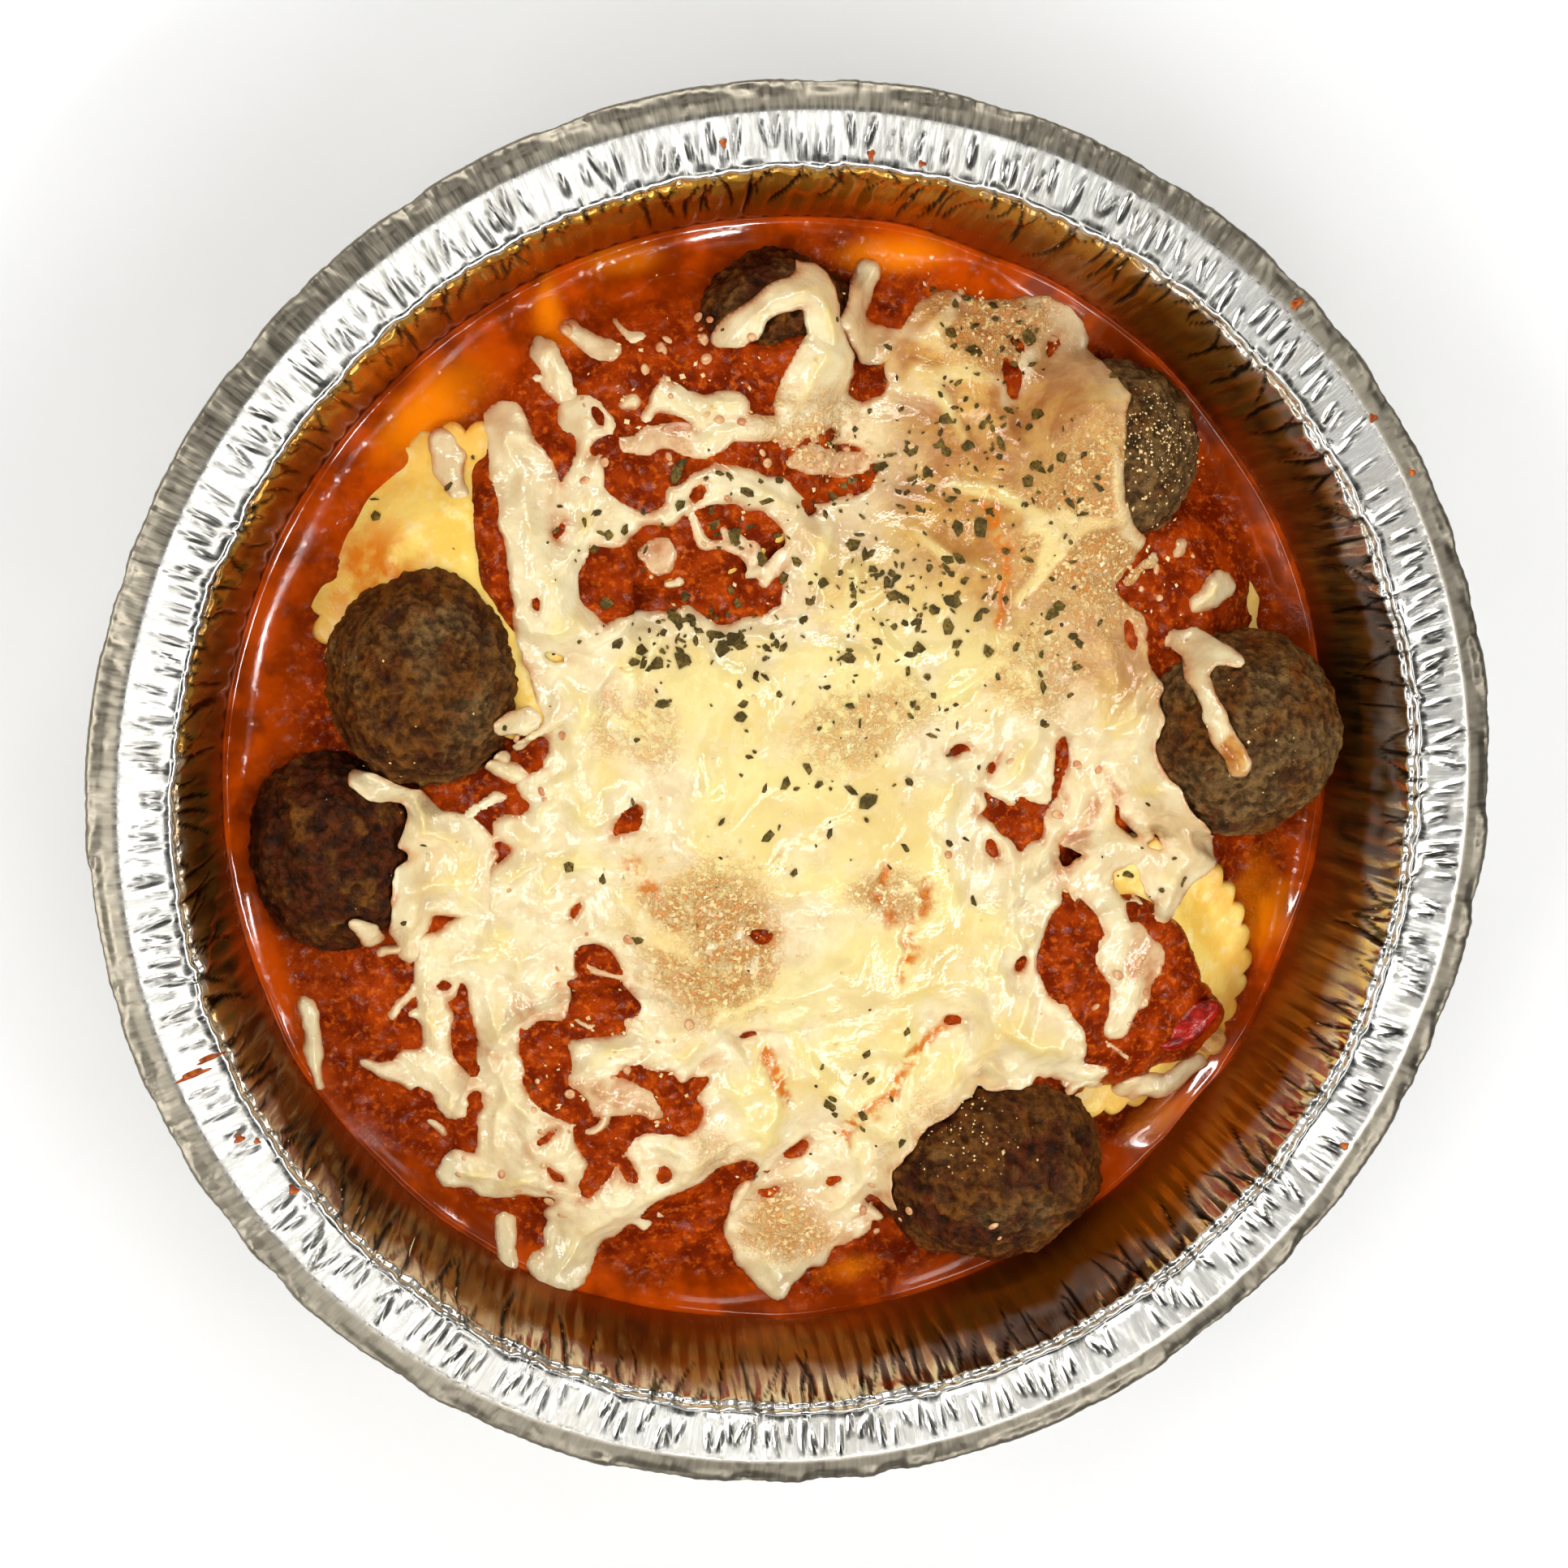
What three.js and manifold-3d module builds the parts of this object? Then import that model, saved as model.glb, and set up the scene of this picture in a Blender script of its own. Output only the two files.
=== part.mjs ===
// A round foil takeaway pan of ravioli in tomato sauce, with meatballs under melted cheese.
// Millimetres, +Z up, origin at the centre of the pan's base, +Y towards the top of the picture.

import * as THREE from 'three';
import { mergeVertices } from 'three/addons/utils/BufferGeometryUtils.js';
import Module from 'manifold-3d';

const wasm = await Module();
wasm.setup();

// Foil pan: nine inch size, its closing flange opened outwards and drooping a little
const PAN_HEIGHT = 44;
const BASE_RADIUS = 86.5;
const BASE_CORNER = 6;
const MOUTH_RADIUS = 101;
const CREASE_RADIUS = 110.3;
const RIM_RADIUS = 115;
const RIM_DROP = 2;
const ROLL_RADIUS = 0.7;
const FOIL = 0.6;
const LEDGE_EASE = 0.5;
const PAN_SEGMENTS = 56;

// Clearance kept between any two pieces
const GAP = 0.3;

// Sauce: its edge leans a little across the pan, and the middle is heaped up
const EDGE_LEVEL = 21.5;
const EDGE_LEAN = 3.2;
const EDGE_LEAN_ANGLE = THREE.MathUtils.degToRad(135);
const SAUCE_RADIUS = 93;
const HEAP_HEIGHT = 12.5;
const HEAP_RADIUS = 88;
const HEAP_X = 3;
const HEAP_FLATNESS = 2.5;
const HEAP_FALL = 1.8;
const SURFACE_STEP = 16;
const PIECE_STEP = 6;
const SURFACE_REACH = 100;

// Melted cheese
const CHEESE_THICKNESS = 2.2;
const CHEESE_LIFT = 1;
const PRISM_HEIGHT = 60;
const DISC_SIDES = 10;
const STRAND_END_STEPS = 2;
const WINDOW_SIDES = 8;

// Meatballs: centre, half sizes and turn about Z
const MEATBALL_DETAIL = 3;
const CUTTER_DETAIL = 2;
const CUTTER_MARGIN = 0.5;
const LUMP_RATES = [4.1, 4.7, 5.3];
const LUMP_DEPTH = 0.012;
const MEATBALLS = [
  { name: 'meatball_upper_left', at: [-61.5, 22, 26.5], half: [17, 19.3, 17], turn: -12 },
  { name: 'meatball_left', at: [-77.5, -7, 21.5], half: [15, 18, 15], turn: 5 },
  { name: 'meatball_bottom', at: [34.3, -66.8, 23], half: [21, 17.5, 16.5], turn: 8 },
  { name: 'meatball_right', at: [75, 9.5, 27], half: [18.5, 18.5, 17], turn: 20 },
  { name: 'meatball_upper_right', at: [52.2, 56.2, 23], half: [16.5, 16.5, 15.5], turn: 40 },
  { name: 'meatball_top', at: [-4, 76, 21], half: [15.5, 15, 14.5], turn: 0 },
];

// Ravioli: centre, height over the sauce, extra tilt outwards in degrees, and the depth of the teeth,
// which only show on the two that lie bare
const RAVIOLI = [
  { name: 'raviolo_upper_left', at: [-55, 36.5], lift: 1.2, tilt: 3, teeth: 0.8 },
  { name: 'raviolo_right', at: [56.5, -34], lift: 1.6, tilt: 0, teeth: 0.8 },
  { name: 'raviolo_top', at: [-22, 62], lift: 0, tilt: 2, teeth: 0 },
  { name: 'raviolo_far_right', at: [58, 32.5], lift: -0.6, tilt: 0, teeth: 0 },
  { name: 'raviolo_bottom', at: [-33, -57.5], lift: -0.8, tilt: 2, teeth: 0 },
  { name: 'raviolo_lower_right', at: [50, -43], lift: -5, tilt: 0, teeth: 0 },
];
const RAVIOLO_RADIUS = 25;
const RAVIOLO_TEETH = 36;
const SMOOTH_SIDES = 24;
const RAVIOLO_CUTTER_SIDES = 18;
const BORDER_HALF = 1;
const BORDER_SHARE = 0.78;
const PILLOW_SHARE = 0.45;
const PILLOW_HEIGHT = 4;
const PILLOW_DEPTH = 2.5;
const SLOPE_REACH = 6;

// Cheese sheet: round patches first, then strands as x, y and half width along each
const SHEET_PATCHES = [
  [0, 5, 28], [20, 43, 25], [38, 20, 21], [45, 47, 13], [27, 70, 13], [42, 76, 7],
  [15, -25, 26], [-12, -22, 20], [26, -43, 15], [-25, 18, 15], [2, -48, 18],
  [-40, -15, 9], [-50, -21, 7.5], [-45, -25, 7], [-33, -12, 12], [-22, -34, 10], [-2, -75, 8],
];
const SHEET_STRANDS = [
  [[-47, 61, 4], [-46, 48, 4.2], [-42, 32, 6], [-37, 20, 7], [-34, 0, 9]],
  [[-36, 62, 3.6], [-35, 53, 3.6], [-38, 46, 4], [-42, 38, 5]],
  [[-34, 46, 3.5], [-25, 49, 3.2], [-13, 53, 3.4], [-5, 50, 3.4], [2, 46, 4]],
  [[-17, 59, 2.5], [-9, 60, 2.5], [2, 60, 3]],
  [[54, 12, 5.5], [58, 4, 5.5], [63, -5, 6.5], [67, -11, 6.2], [62, -15, 5.5], [52, -12, 3.5], [48, 0, 4]],
  [[46, -8, 5], [50, -22, 3], [55, -32, 2.8], [55, -40, 2.4]],
  [[40, -13, 4], [36, -20, 4], [34, -32, 6], [40, -42, 7], [43, -46, 4]],
  [[32, -46, 9], [20, -50, 11], [10, -56, 10], [6, -68, 6], [7, -76, 4]],
  [[-7, -72, 6], [-6, -82, 4.4], [-4, -87, 3.2]],
  [[0, -45, 8], [-12, -55, 7.5], [-28, -63, 6.3], [-36, -72, 5], [-42, -82, 4.3]],
  [[-62, -25, 3.2], [-62, -36, 2.5], [-60, -45, 3.4], [-60, -52, 2.2]],
  [[-60, -26, 3], [-52, -25, 5]],
  [[-66, -44, 2.2], [-60, -46, 3]],
  [[-50, -28, 4], [-52, -35, 3.4], [-49, -46, 3.4], [-52, -54, 3], [-51, -63, 3.4]],
  [[-58, -63, 3.2], [-50, -65, 3.6], [-42, -62, 4], [-34, -64, 5]],
  [[-50, -48, 3], [-43, -57, 4.2], [-40, -64, 4.4]],
  [[-40, -43, 3.4], [-30, -42, 3.6], [-20, -42, 5]],
];

// Windows through the sheet: centre, half sizes and turn
const SHEET_WINDOWS = [
  [-29, 55, 3.6, 6, 10], [5, 55, 7.5, 4, 0], [-25, 41, 4.5, 4.5, 0],
  [47, -6, 5.6, 1.7, 55], [43, 4, 1.5, 5, -5], [45, -26, 4, 7.5, -20], [55, -15.5, 2.4, 1.9, 0],
  [-57, -40, 2.4, 5.5, 10], [-43, -45, 3, 8, 0], [-37, -34, 5.5, 2.4, -8], [-26, -50, 7.5, 3.8, -20],
  [-34, -60, 1.4, 4.5, -35], [-21, -73, 3.6, 2.4, 15], [25.5, -40, 1.4, 1.2, 0], [-8, -22, 2.2, 1.1, 0],
];

// Separate pieces of cheese, each a chain of strands
const CHEESE_PIECES = [
  { name: 'cheese_left_patch', strands: [
    [[-73, 6, 1.4], [-68, 2, 2], [-63, -3, 4.4], [-57, -6, 5.4], [-58, -12, 6.2], [-65, -13, 5]],
    [[-65, -13, 4], [-66, -19, 3.6], [-66, -24, 2.6]],
  ] },
  { name: 'cheese_left_strip', strands: [[[-83, -34, 2.3], [-82.5, -41, 2.4], [-81, -47, 1.4]]] },
  { name: 'cheese_left_scrap', strands: [[[-74, -18, 1.8], [-72, -22, 1.8]]] },
  { name: 'cheese_upper_strip', strands: [[[-42, 74, 2.6], [-40, 70, 2.6], [-39, 68, 2.2]]] },
  { name: 'cheese_upper_scrap', strands: [[[-36, 77, 1.8], [-31, 73, 1.6]]] },
  { name: 'cheese_top_strand', strands: [
    [[-12, 78, 2.8], [-6, 83, 2.8], [0, 86, 3], [2, 79, 3], [3, 73, 4.6]],
  ] },
  { name: 'cheese_top_loop', strands: [[[11, 86, 2.5], [9.5, 82, 2.5], [10, 77, 2.6], [14, 75, 3]]] },
  { name: 'cheese_middle_strip', strands: [[[-23, 67, 1.9], [-17, 65.5, 1.9]]] },
  { name: 'cheese_upper_dot', strands: [[[-29, 66, 1.7], [-28, 66, 1.5]]] },
  { name: 'cheese_meatball_shred', strands: [[[-50, 15, 2.1], [-48, 15, 2.1]]] },
  { name: 'cheese_lower_meatball_shred', strands: [[[-52, 7, 2], [-48, 6, 2]]] },
  { name: 'cheese_meatball_strand', strands: [
    [[66, 25, 2], [64.5, 20, 2], [66.5, 14, 2], [69, 9, 2.6], [71, 6, 2]],
  ] },
  { name: 'cheese_right_scrap', strands: [[[69, 32, 2.6], [73, 34, 2.4]]] },
  { name: 'cheese_lower_right_strip', strands: [[[57, -54, 2.6], [66, -55, 2.6], [73, -51, 2.2]]] },
  { name: 'cheese_corner_scrap', strands: [[[47, -52.5, 1.6], [51, -51.5, 2]]] },
  { name: 'cheese_bottom_prong', strands: [[[-51, -74, 2.2], [-50, -80, 2.4]]] },
];

// Vegetable chunks: centre, half sizes and turn about Z
const CHUNK_SIDES = 9;
const CHUNK_RINGS = 5;
const CHUNKS = [
  { name: 'tomato_chunk', at: [67.5, -42.5], lift: 6, half: [7.2, 3.6, 3], turn: 28, color: 0xa3130c },
  { name: 'onion_chunk_right', at: [75, -47.2], lift: 1.6, half: [3, 2.6, 2], turn: -20, color: 0xb98a4e },
  { name: 'onion_chunk_middle', at: [-22, 60.5], lift: 5.2, half: [4.3, 2.3, 1.6], turn: 8, color: 0xb9907c },
];

// Herb flakes that lie on the sheet
const FLAKE_COUNT = 22;
const FLAKE_SIZE = [2.2, 1.3, 0.9];
const FLAKE_MARGIN = 2.2;
const FLAKE_CENTRE = [14, 34];
const FLAKE_SPREAD = [30, 34];

const FOIL_LOOK = { color: 0xc9c9c7, roughness: 0.35, metalness: 1 };
const SAUCE_LOOK = { color: 0x9a2c0a, roughness: 0.3, metalness: 0 };
const MEAT_LOOK = { color: 0x5a4022, roughness: 0.7, metalness: 0 };
const PASTA_LOOK = { color: 0xe8c872, roughness: 0.5, metalness: 0 };
const CHEESE_LOOK = { color: 0xe9d9a4, roughness: 0.4, metalness: 0 };

const radians = THREE.MathUtils.degToRad;

// A small repeatable random source, a linear congruential one
function randomSource(seed) {
  let state = seed;
  return () => {
    state = (state * 1664525 + 1013904223) % 4294967296;
    return state / 4294967296;
  };
}

// Solid and geometry conversions

function signedVolume(points, faces) {
  let sum = 0;
  for (let i = 0; i < faces.length; i += 3) {
    const [a, b, c] = [faces[i] * 3, faces[i + 1] * 3, faces[i + 2] * 3];
    sum += points[a] * (points[b + 1] * points[c + 2] - points[b + 2] * points[c + 1]);
    sum += points[a + 1] * (points[b + 2] * points[c] - points[b] * points[c + 2]);
    sum += points[a + 2] * (points[b] * points[c + 1] - points[b + 1] * points[c]);
  }
  return sum / 6;
}

function toSolid(geometry) {
  const bare = geometry.clone();
  bare.deleteAttribute('normal');
  bare.deleteAttribute('uv');
  const merged = mergeVertices(bare, 1e-4);
  const index = merged.index.array;
  const faces = [];
  for (let i = 0; i < index.length; i += 3) {
    const [a, b, c] = [index[i], index[i + 1], index[i + 2]];
    if (a !== b && b !== c && c !== a) faces.push(a, b, c);
  }
  const points = new Float32Array(merged.attributes.position.array);
  if (signedVolume(points, faces) < 0) faces.reverse();
  return new wasm.Manifold(new wasm.Mesh({
    numProp: 3,
    vertProperties: points,
    triVerts: new Uint32Array(faces),
  }));
}

function toGeometry(solid) {
  const mesh = solid.getMesh();
  const geometry = new THREE.BufferGeometry();
  geometry.setAttribute('position', new THREE.BufferAttribute(new Float32Array(mesh.vertProperties), 3));
  geometry.setIndex(new THREE.BufferAttribute(new Uint32Array(mesh.triVerts), 1));
  geometry.computeVertexNormals();
  return geometry;
}

// The biggest piece of a solid, without the scraps that a cut leaves
function biggest(solid) {
  const pieces = solid.decompose();
  pieces.sort((a, b) => b.volume() - a.volume());
  return pieces[0];
}

function spun(profile, segments, matrix = new THREE.Matrix4()) {
  const points = profile.map(([radius, height]) => new THREE.Vector2(radius, height));
  return toSolid(new THREE.LatheGeometry(points, segments).rotateX(Math.PI / 2).applyMatrix4(matrix));
}

// Surfaces

// Where the pan's wall is, a distance in from its inner face
function wallRadius(height, inset) {
  return THREE.MathUtils.lerp(BASE_RADIUS, MOUTH_RADIUS, height / PAN_HEIGHT) - inset;
}

function sauceAt(x, y) {
  const along = x * Math.cos(EDGE_LEAN_ANGLE) + y * Math.sin(EDGE_LEAN_ANGLE);
  const share = Math.min(1, Math.hypot(x - HEAP_X, y) / HEAP_RADIUS);
  const heap = HEAP_HEIGHT * (1 - share ** HEAP_FLATNESS) ** HEAP_FALL;
  return EDGE_LEVEL + (EDGE_LEAN * along) / SAUCE_RADIUS + heap;
}

// How a raviolo lies: its centre, and its axes leaning with the heap
function ravioloPlacement(spec) {
  const [x, y] = spec.at;
  const slopeX = (sauceAt(x + SLOPE_REACH, y) - sauceAt(x - SLOPE_REACH, y)) / (2 * SLOPE_REACH);
  const slopeY = (sauceAt(x, y + SLOPE_REACH) - sauceAt(x, y - SLOPE_REACH)) / (2 * SLOPE_REACH);
  const away = Math.hypot(x, y);
  const extra = Math.tan(radians(spec.tilt));
  const up = new THREE.Vector3(-slopeX + (extra * x) / away, -slopeY + (extra * y) / away, 1).normalize();
  const lean = new THREE.Quaternion().setFromUnitVectors(new THREE.Vector3(0, 0, 1), up);
  const centre = new THREE.Vector3(x, y, sauceAt(x, y) + spec.lift);
  return { centre, up, matrix: new THREE.Matrix4().compose(centre, lean, new THREE.Vector3(1, 1, 1)) };
}

function ravioloTopAt(spec, x, y) {
  const { centre, up } = ravioloPlacement(spec);
  const [dx, dy] = [x - centre.x, y - centre.y];
  const share = Math.hypot(dx, dy) / (RAVIOLO_RADIUS + 1);
  if (share > 1) return -Infinity;
  const pillow = THREE.MathUtils.clamp((BORDER_SHARE - share) / (BORDER_SHARE - PILLOW_SHARE), 0, 1);
  return centre.z - (up.x * dx + up.y * dy) / up.z + BORDER_HALF + pillow * PILLOW_HEIGHT;
}

function meatballTopAt(spec, x, y) {
  const turn = -radians(spec.turn);
  const [dx, dy] = [x - spec.at[0], y - spec.at[1]];
  const across = (dx * Math.cos(turn) - dy * Math.sin(turn)) / (spec.half[0] + 1);
  const along = (dx * Math.sin(turn) + dy * Math.cos(turn)) / (spec.half[1] + 1);
  const inside = 1 - across * across - along * along;
  return inside > 0 ? spec.at[2] + spec.half[2] * Math.sqrt(inside) : -Infinity;
}

// The face that the separate cheese pieces lie on: the sauce, the ravioli and the meatballs
function pieceBedAt(x, y) {
  let height = sauceAt(x, y) + GAP;
  for (const spec of RAVIOLI) height = Math.max(height, ravioloTopAt(spec, x, y) + CHEESE_LIFT);
  for (const spec of MEATBALLS) height = Math.max(height, meatballTopAt(spec, x, y) + CHEESE_LIFT);
  return height;
}

// A closed solid between two height functions on a square grid
function layerBetween(bottomAt, topAt, step) {
  const count = Math.ceil((2 * SURFACE_REACH) / step);
  const points = [];
  for (const heightAt of [topAt, bottomAt]) {
    for (let j = 0; j <= count; j += 1) {
      for (let i = 0; i <= count; i += 1) {
        const x = (i - count / 2) * step;
        const y = (j - count / 2) * step;
        points.push(x, y, heightAt(x, y));
      }
    }
  }
  const row = count + 1;
  const under = row * row;
  const faces = [];
  for (let j = 0; j < count; j += 1) {
    for (let i = 0; i < count; i += 1) {
      const a = j * row + i;
      const [b, c, d] = [a + 1, a + row + 1, a + row];
      faces.push(a, b, c, a, c, d);
      faces.push(under + a, under + c, under + b, under + a, under + d, under + c);
    }
  }
  const wall = (a, b) => faces.push(b, a, under + a, b, under + a, under + b);
  for (let k = 0; k < count; k += 1) {
    wall(k, k + 1);
    wall(count * row + k + 1, count * row + k);
    wall((k + 1) * row, k * row);
    wall(k * row + count, (k + 1) * row + count);
  }
  const geometry = new THREE.BufferGeometry();
  geometry.setAttribute('position', new THREE.BufferAttribute(new Float32Array(points), 3));
  geometry.setIndex(faces);
  return toSolid(geometry);
}

// Outlines seen from above

function prism(outline) {
  const shape = new THREE.Shape(outline.map(([x, y]) => new THREE.Vector2(x, y)));
  return toSolid(new THREE.ExtrudeGeometry(shape, { depth: PRISM_HEIGHT, bevelEnabled: false }));
}

function arcPoints(x, y, radius, from, sweep, steps) {
  return Array.from({ length: steps + 1 }, (_, k) => {
    const angle = from + (sweep * k) / steps;
    return [x + radius * Math.cos(angle), y + radius * Math.sin(angle)];
  });
}

function discPrism([x, y, radius]) {
  return prism(arcPoints(x, y, radius, 0, 2 * Math.PI * (1 - 1 / DISC_SIDES), DISC_SIDES - 1));
}

// The outline round two circles
function spanPrism([ax, ay, ar], [bx, by, br]) {
  const distance = Math.hypot(bx - ax, by - ay);
  const heading = Math.atan2(by - ay, bx - ax);
  const opening = Math.acos(THREE.MathUtils.clamp((ar - br) / distance, -1, 1));
  return prism([
    ...arcPoints(ax, ay, ar, heading + opening, 2 * (Math.PI - opening), STRAND_END_STEPS),
    ...arcPoints(bx, by, br, heading - opening, 2 * opening, STRAND_END_STEPS),
  ]);
}

function ellipsePrism([x, y, halfX, halfY, turn]) {
  const [cos, sin] = [Math.cos(radians(turn)), Math.sin(radians(turn))];
  const circle = arcPoints(0, 0, 1, 0, 2 * Math.PI * (1 - 1 / WINDOW_SIDES), WINDOW_SIDES - 1);
  return prism(circle.map(([u, v]) => [
    x + u * halfX * cos - v * halfY * sin,
    y + u * halfX * sin + v * halfY * cos,
  ]));
}

function strandPrism(strands, grow) {
  const spans = [];
  for (const strand of strands) {
    const wide = strand.map(([x, y, half]) => [x, y, half + grow]);
    for (let k = 1; k < wide.length; k += 1) spans.push(spanPrism(wide[k - 1], wide[k]));
  }
  return spans.reduce((sum, span) => sum.add(span));
}

// Foil pan

function arcProfile(centreR, centreZ, radius, fromDegrees, toDegrees, steps) {
  return arcPoints(centreR, centreZ, radius, radians(fromDegrees), radians(toDegrees - fromDegrees), steps);
}

function foilPan() {
  const rollR = RIM_RADIUS - ROLL_RADIUS;
  const rollZ = PAN_HEIGHT - RIM_DROP;
  const outer = BASE_RADIUS + FOIL;
  return spun([
    [0, 0],
    ...arcProfile(outer - BASE_CORNER, BASE_CORNER, BASE_CORNER, -90, -12, 3),
    [MOUTH_RADIUS + FOIL, PAN_HEIGHT - FOIL],
    [CREASE_RADIUS, PAN_HEIGHT - FOIL],
    ...arcProfile(rollR, rollZ, ROLL_RADIUS, -135, 90, 4),
    [CREASE_RADIUS, PAN_HEIGHT],
    [MOUTH_RADIUS + LEDGE_EASE, PAN_HEIGHT],
    [MOUTH_RADIUS, PAN_HEIGHT - LEDGE_EASE],
    ...arcProfile(BASE_RADIUS - BASE_CORNER, BASE_CORNER + FOIL, BASE_CORNER, -12, -90, 3),
    [0, FOIL],
  ], PAN_SEGMENTS);
}

// The room inside the pan, clear of the foil
function panRoom() {
  return spun([
    [0, FOIL + GAP],
    ...arcProfile(BASE_RADIUS - BASE_CORNER - GAP, BASE_CORNER + FOIL + GAP, BASE_CORNER, -90, -12, 1),
    [wallRadius(PAN_HEIGHT, GAP), PAN_HEIGHT],
    [0, PRISM_HEIGHT],
  ], PAN_SEGMENTS);
}

// Food

function meatball(spec, detail, grow) {
  const geometry = new THREE.IcosahedronGeometry(1, detail);
  const position = geometry.attributes.position;
  const direction = new THREE.Vector3();
  const phase = spec.at[0];
  const [rateX, rateY, rateZ] = LUMP_RATES;
  for (let i = 0; i < position.count; i += 1) {
    direction.fromBufferAttribute(position, i).normalize();
    const lumps = Math.sin(rateX * direction.x + phase) + Math.sin(rateY * direction.y - phase)
      + Math.sin(rateZ * direction.z + 2 * phase);
    const scale = 1 - LUMP_DEPTH * (3 - lumps);
    position.setXYZ(
      i,
      direction.x * (spec.half[0] * scale + grow),
      direction.y * (spec.half[1] * scale + grow),
      direction.z * (spec.half[2] * scale + grow),
    );
  }
  geometry.rotateZ(radians(spec.turn)).translate(...spec.at);
  return toSolid(geometry);
}

function ringPoints(count, radiusAt, height) {
  return Array.from({ length: count }, (_, k) => {
    const radius = radiusAt(k);
    const angle = (2 * Math.PI * k) / count;
    return [radius * Math.cos(angle), radius * Math.sin(angle), height];
  });
}

// A round raviolo: a thin toothed border round a raised pillow of filling
function raviolo(spec) {
  const around = spec.teeth > 0 ? 2 * RAVIOLO_TEETH : SMOOTH_SIDES;
  const outerRadius = (k) => RAVIOLO_RADIUS - (k % 2) * spec.teeth;
  const rings = [
    [[0, 0, PILLOW_HEIGHT + BORDER_HALF]],
    ringPoints(around / 4, () => RAVIOLO_RADIUS * PILLOW_SHARE, PILLOW_HEIGHT),
    ringPoints(around / 2, () => RAVIOLO_RADIUS * BORDER_SHARE, BORDER_HALF),
    ringPoints(around, outerRadius, BORDER_HALF),
    ringPoints(around, outerRadius, -BORDER_HALF),
    [[0, 0, -PILLOW_DEPTH]],
  ];
  const starts = [];
  const points = [];
  for (const ring of rings) {
    starts.push(points.length / 3);
    for (const point of ring) points.push(...point);
  }
  const faces = [];
  for (let r = 1; r < rings.length; r += 1) {
    stitch(faces, starts[r - 1], rings[r - 1].length, starts[r], rings[r].length);
  }
  const geometry = new THREE.BufferGeometry();
  geometry.setAttribute('position', new THREE.BufferAttribute(new Float32Array(points), 3));
  geometry.setIndex(faces);
  return toSolid(geometry.applyMatrix4(ravioloPlacement(spec).matrix));
}

// The room that a raviolo takes in what lies round and over it
function ravioloRoom(spec) {
  const radius = (RAVIOLO_RADIUS + GAP) / Math.cos(Math.PI / RAVIOLO_CUTTER_SIDES);
  return spun([
    [0, -PILLOW_DEPTH - GAP],
    [radius, -BORDER_HALF - GAP],
    [radius, PRISM_HEIGHT],
    [0, PRISM_HEIGHT],
  ], RAVIOLO_CUTTER_SIDES, ravioloPlacement(spec).matrix);
}

// A raviolo with the gap round it, to cut the cheese that lies on it
function ravioloCutter(spec) {
  const radius = (RAVIOLO_RADIUS + GAP) / Math.cos(Math.PI / RAVIOLO_CUTTER_SIDES);
  return spun([
    [0, -PILLOW_DEPTH - GAP],
    [radius, -BORDER_HALF - GAP],
    [radius, BORDER_HALF + GAP],
    [radius * BORDER_SHARE, BORDER_HALF + GAP],
    [radius * PILLOW_SHARE, PILLOW_HEIGHT + GAP],
    [0, PILLOW_HEIGHT + BORDER_HALF + GAP],
  ], RAVIOLO_CUTTER_SIDES, ravioloPlacement(spec).matrix);
}

// Joins two rings of points where one has the same, half or a single point
function stitch(faces, startA, countA, startB, countB) {
  const steps = Math.max(countA, countB);
  const pointA = (k) => startA + (Math.floor((k * countA) / steps) % countA);
  const pointB = (k) => startB + (Math.floor((k * countB) / steps) % countB);
  for (let k = 0; k < steps; k += 1) {
    const [a, nextA, b, nextB] = [pointA(k), pointA(k + 1), pointB(k), pointB(k + 1)];
    if (b !== nextB) faces.push(a, b, nextB);
    if (a !== nextA) faces.push(a, nextB, nextA);
  }
}

function chunk(spec, grow) {
  const [x, y] = spec.at;
  const geometry = new THREE.SphereGeometry(1, CHUNK_SIDES, CHUNK_RINGS);
  geometry.scale(...spec.half.map((half) => half + grow));
  geometry.rotateX(Math.PI / 2).rotateZ(radians(spec.turn));
  return toSolid(geometry.translate(x, y, sauceAt(x, y) + spec.lift));
}

// How far inside the sheet's outline a point lies, negative outside
function depthInSheet(x, y) {
  let depth = Math.max(...SHEET_PATCHES.map(([px, py, radius]) => radius - Math.hypot(x - px, y - py)));
  for (const [wx, wy, halfX, halfY] of SHEET_WINDOWS) {
    depth = Math.min(depth, Math.hypot(x - wx, y - wy) - Math.max(halfX, halfY));
  }
  for (const { at, half } of [...MEATBALLS, ...CHUNKS]) {
    depth = Math.min(depth, Math.hypot(x - at[0], y - at[1]) - Math.max(half[0], half[1]) - 1);
  }
  return depth;
}

function herbFlakes(topAt) {
  const random = randomSource(11);
  const flakes = [];
  while (flakes.length < FLAKE_COUNT) {
    const x = FLAKE_CENTRE[0] + FLAKE_SPREAD[0] * (2 * random() - 1);
    const y = FLAKE_CENTRE[1] + FLAKE_SPREAD[1] * (2 * random() - 1);
    const turn = random() * Math.PI;
    if (depthInSheet(x, y) > FLAKE_MARGIN) {
      const flake = new THREE.BoxGeometry(...FLAKE_SIZE).rotateZ(turn).translate(x, y, topAt(x, y));
      flakes.push(toSolid(flake));
    }
  }
  return flakes;
}

// Assembly

const group = new THREE.Group();

function addPiece(name, solid, look) {
  const mesh = new THREE.Mesh(toGeometry(solid), new THREE.MeshStandardMaterial(look));
  mesh.name = name;
  group.add(mesh);
}

function without(solid, cutters) {
  return cutters.reduce((rest, cutter) => rest.subtract(cutter), solid);
}

addPiece('foil_pan', foilPan(), FOIL_LOOK);

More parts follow.
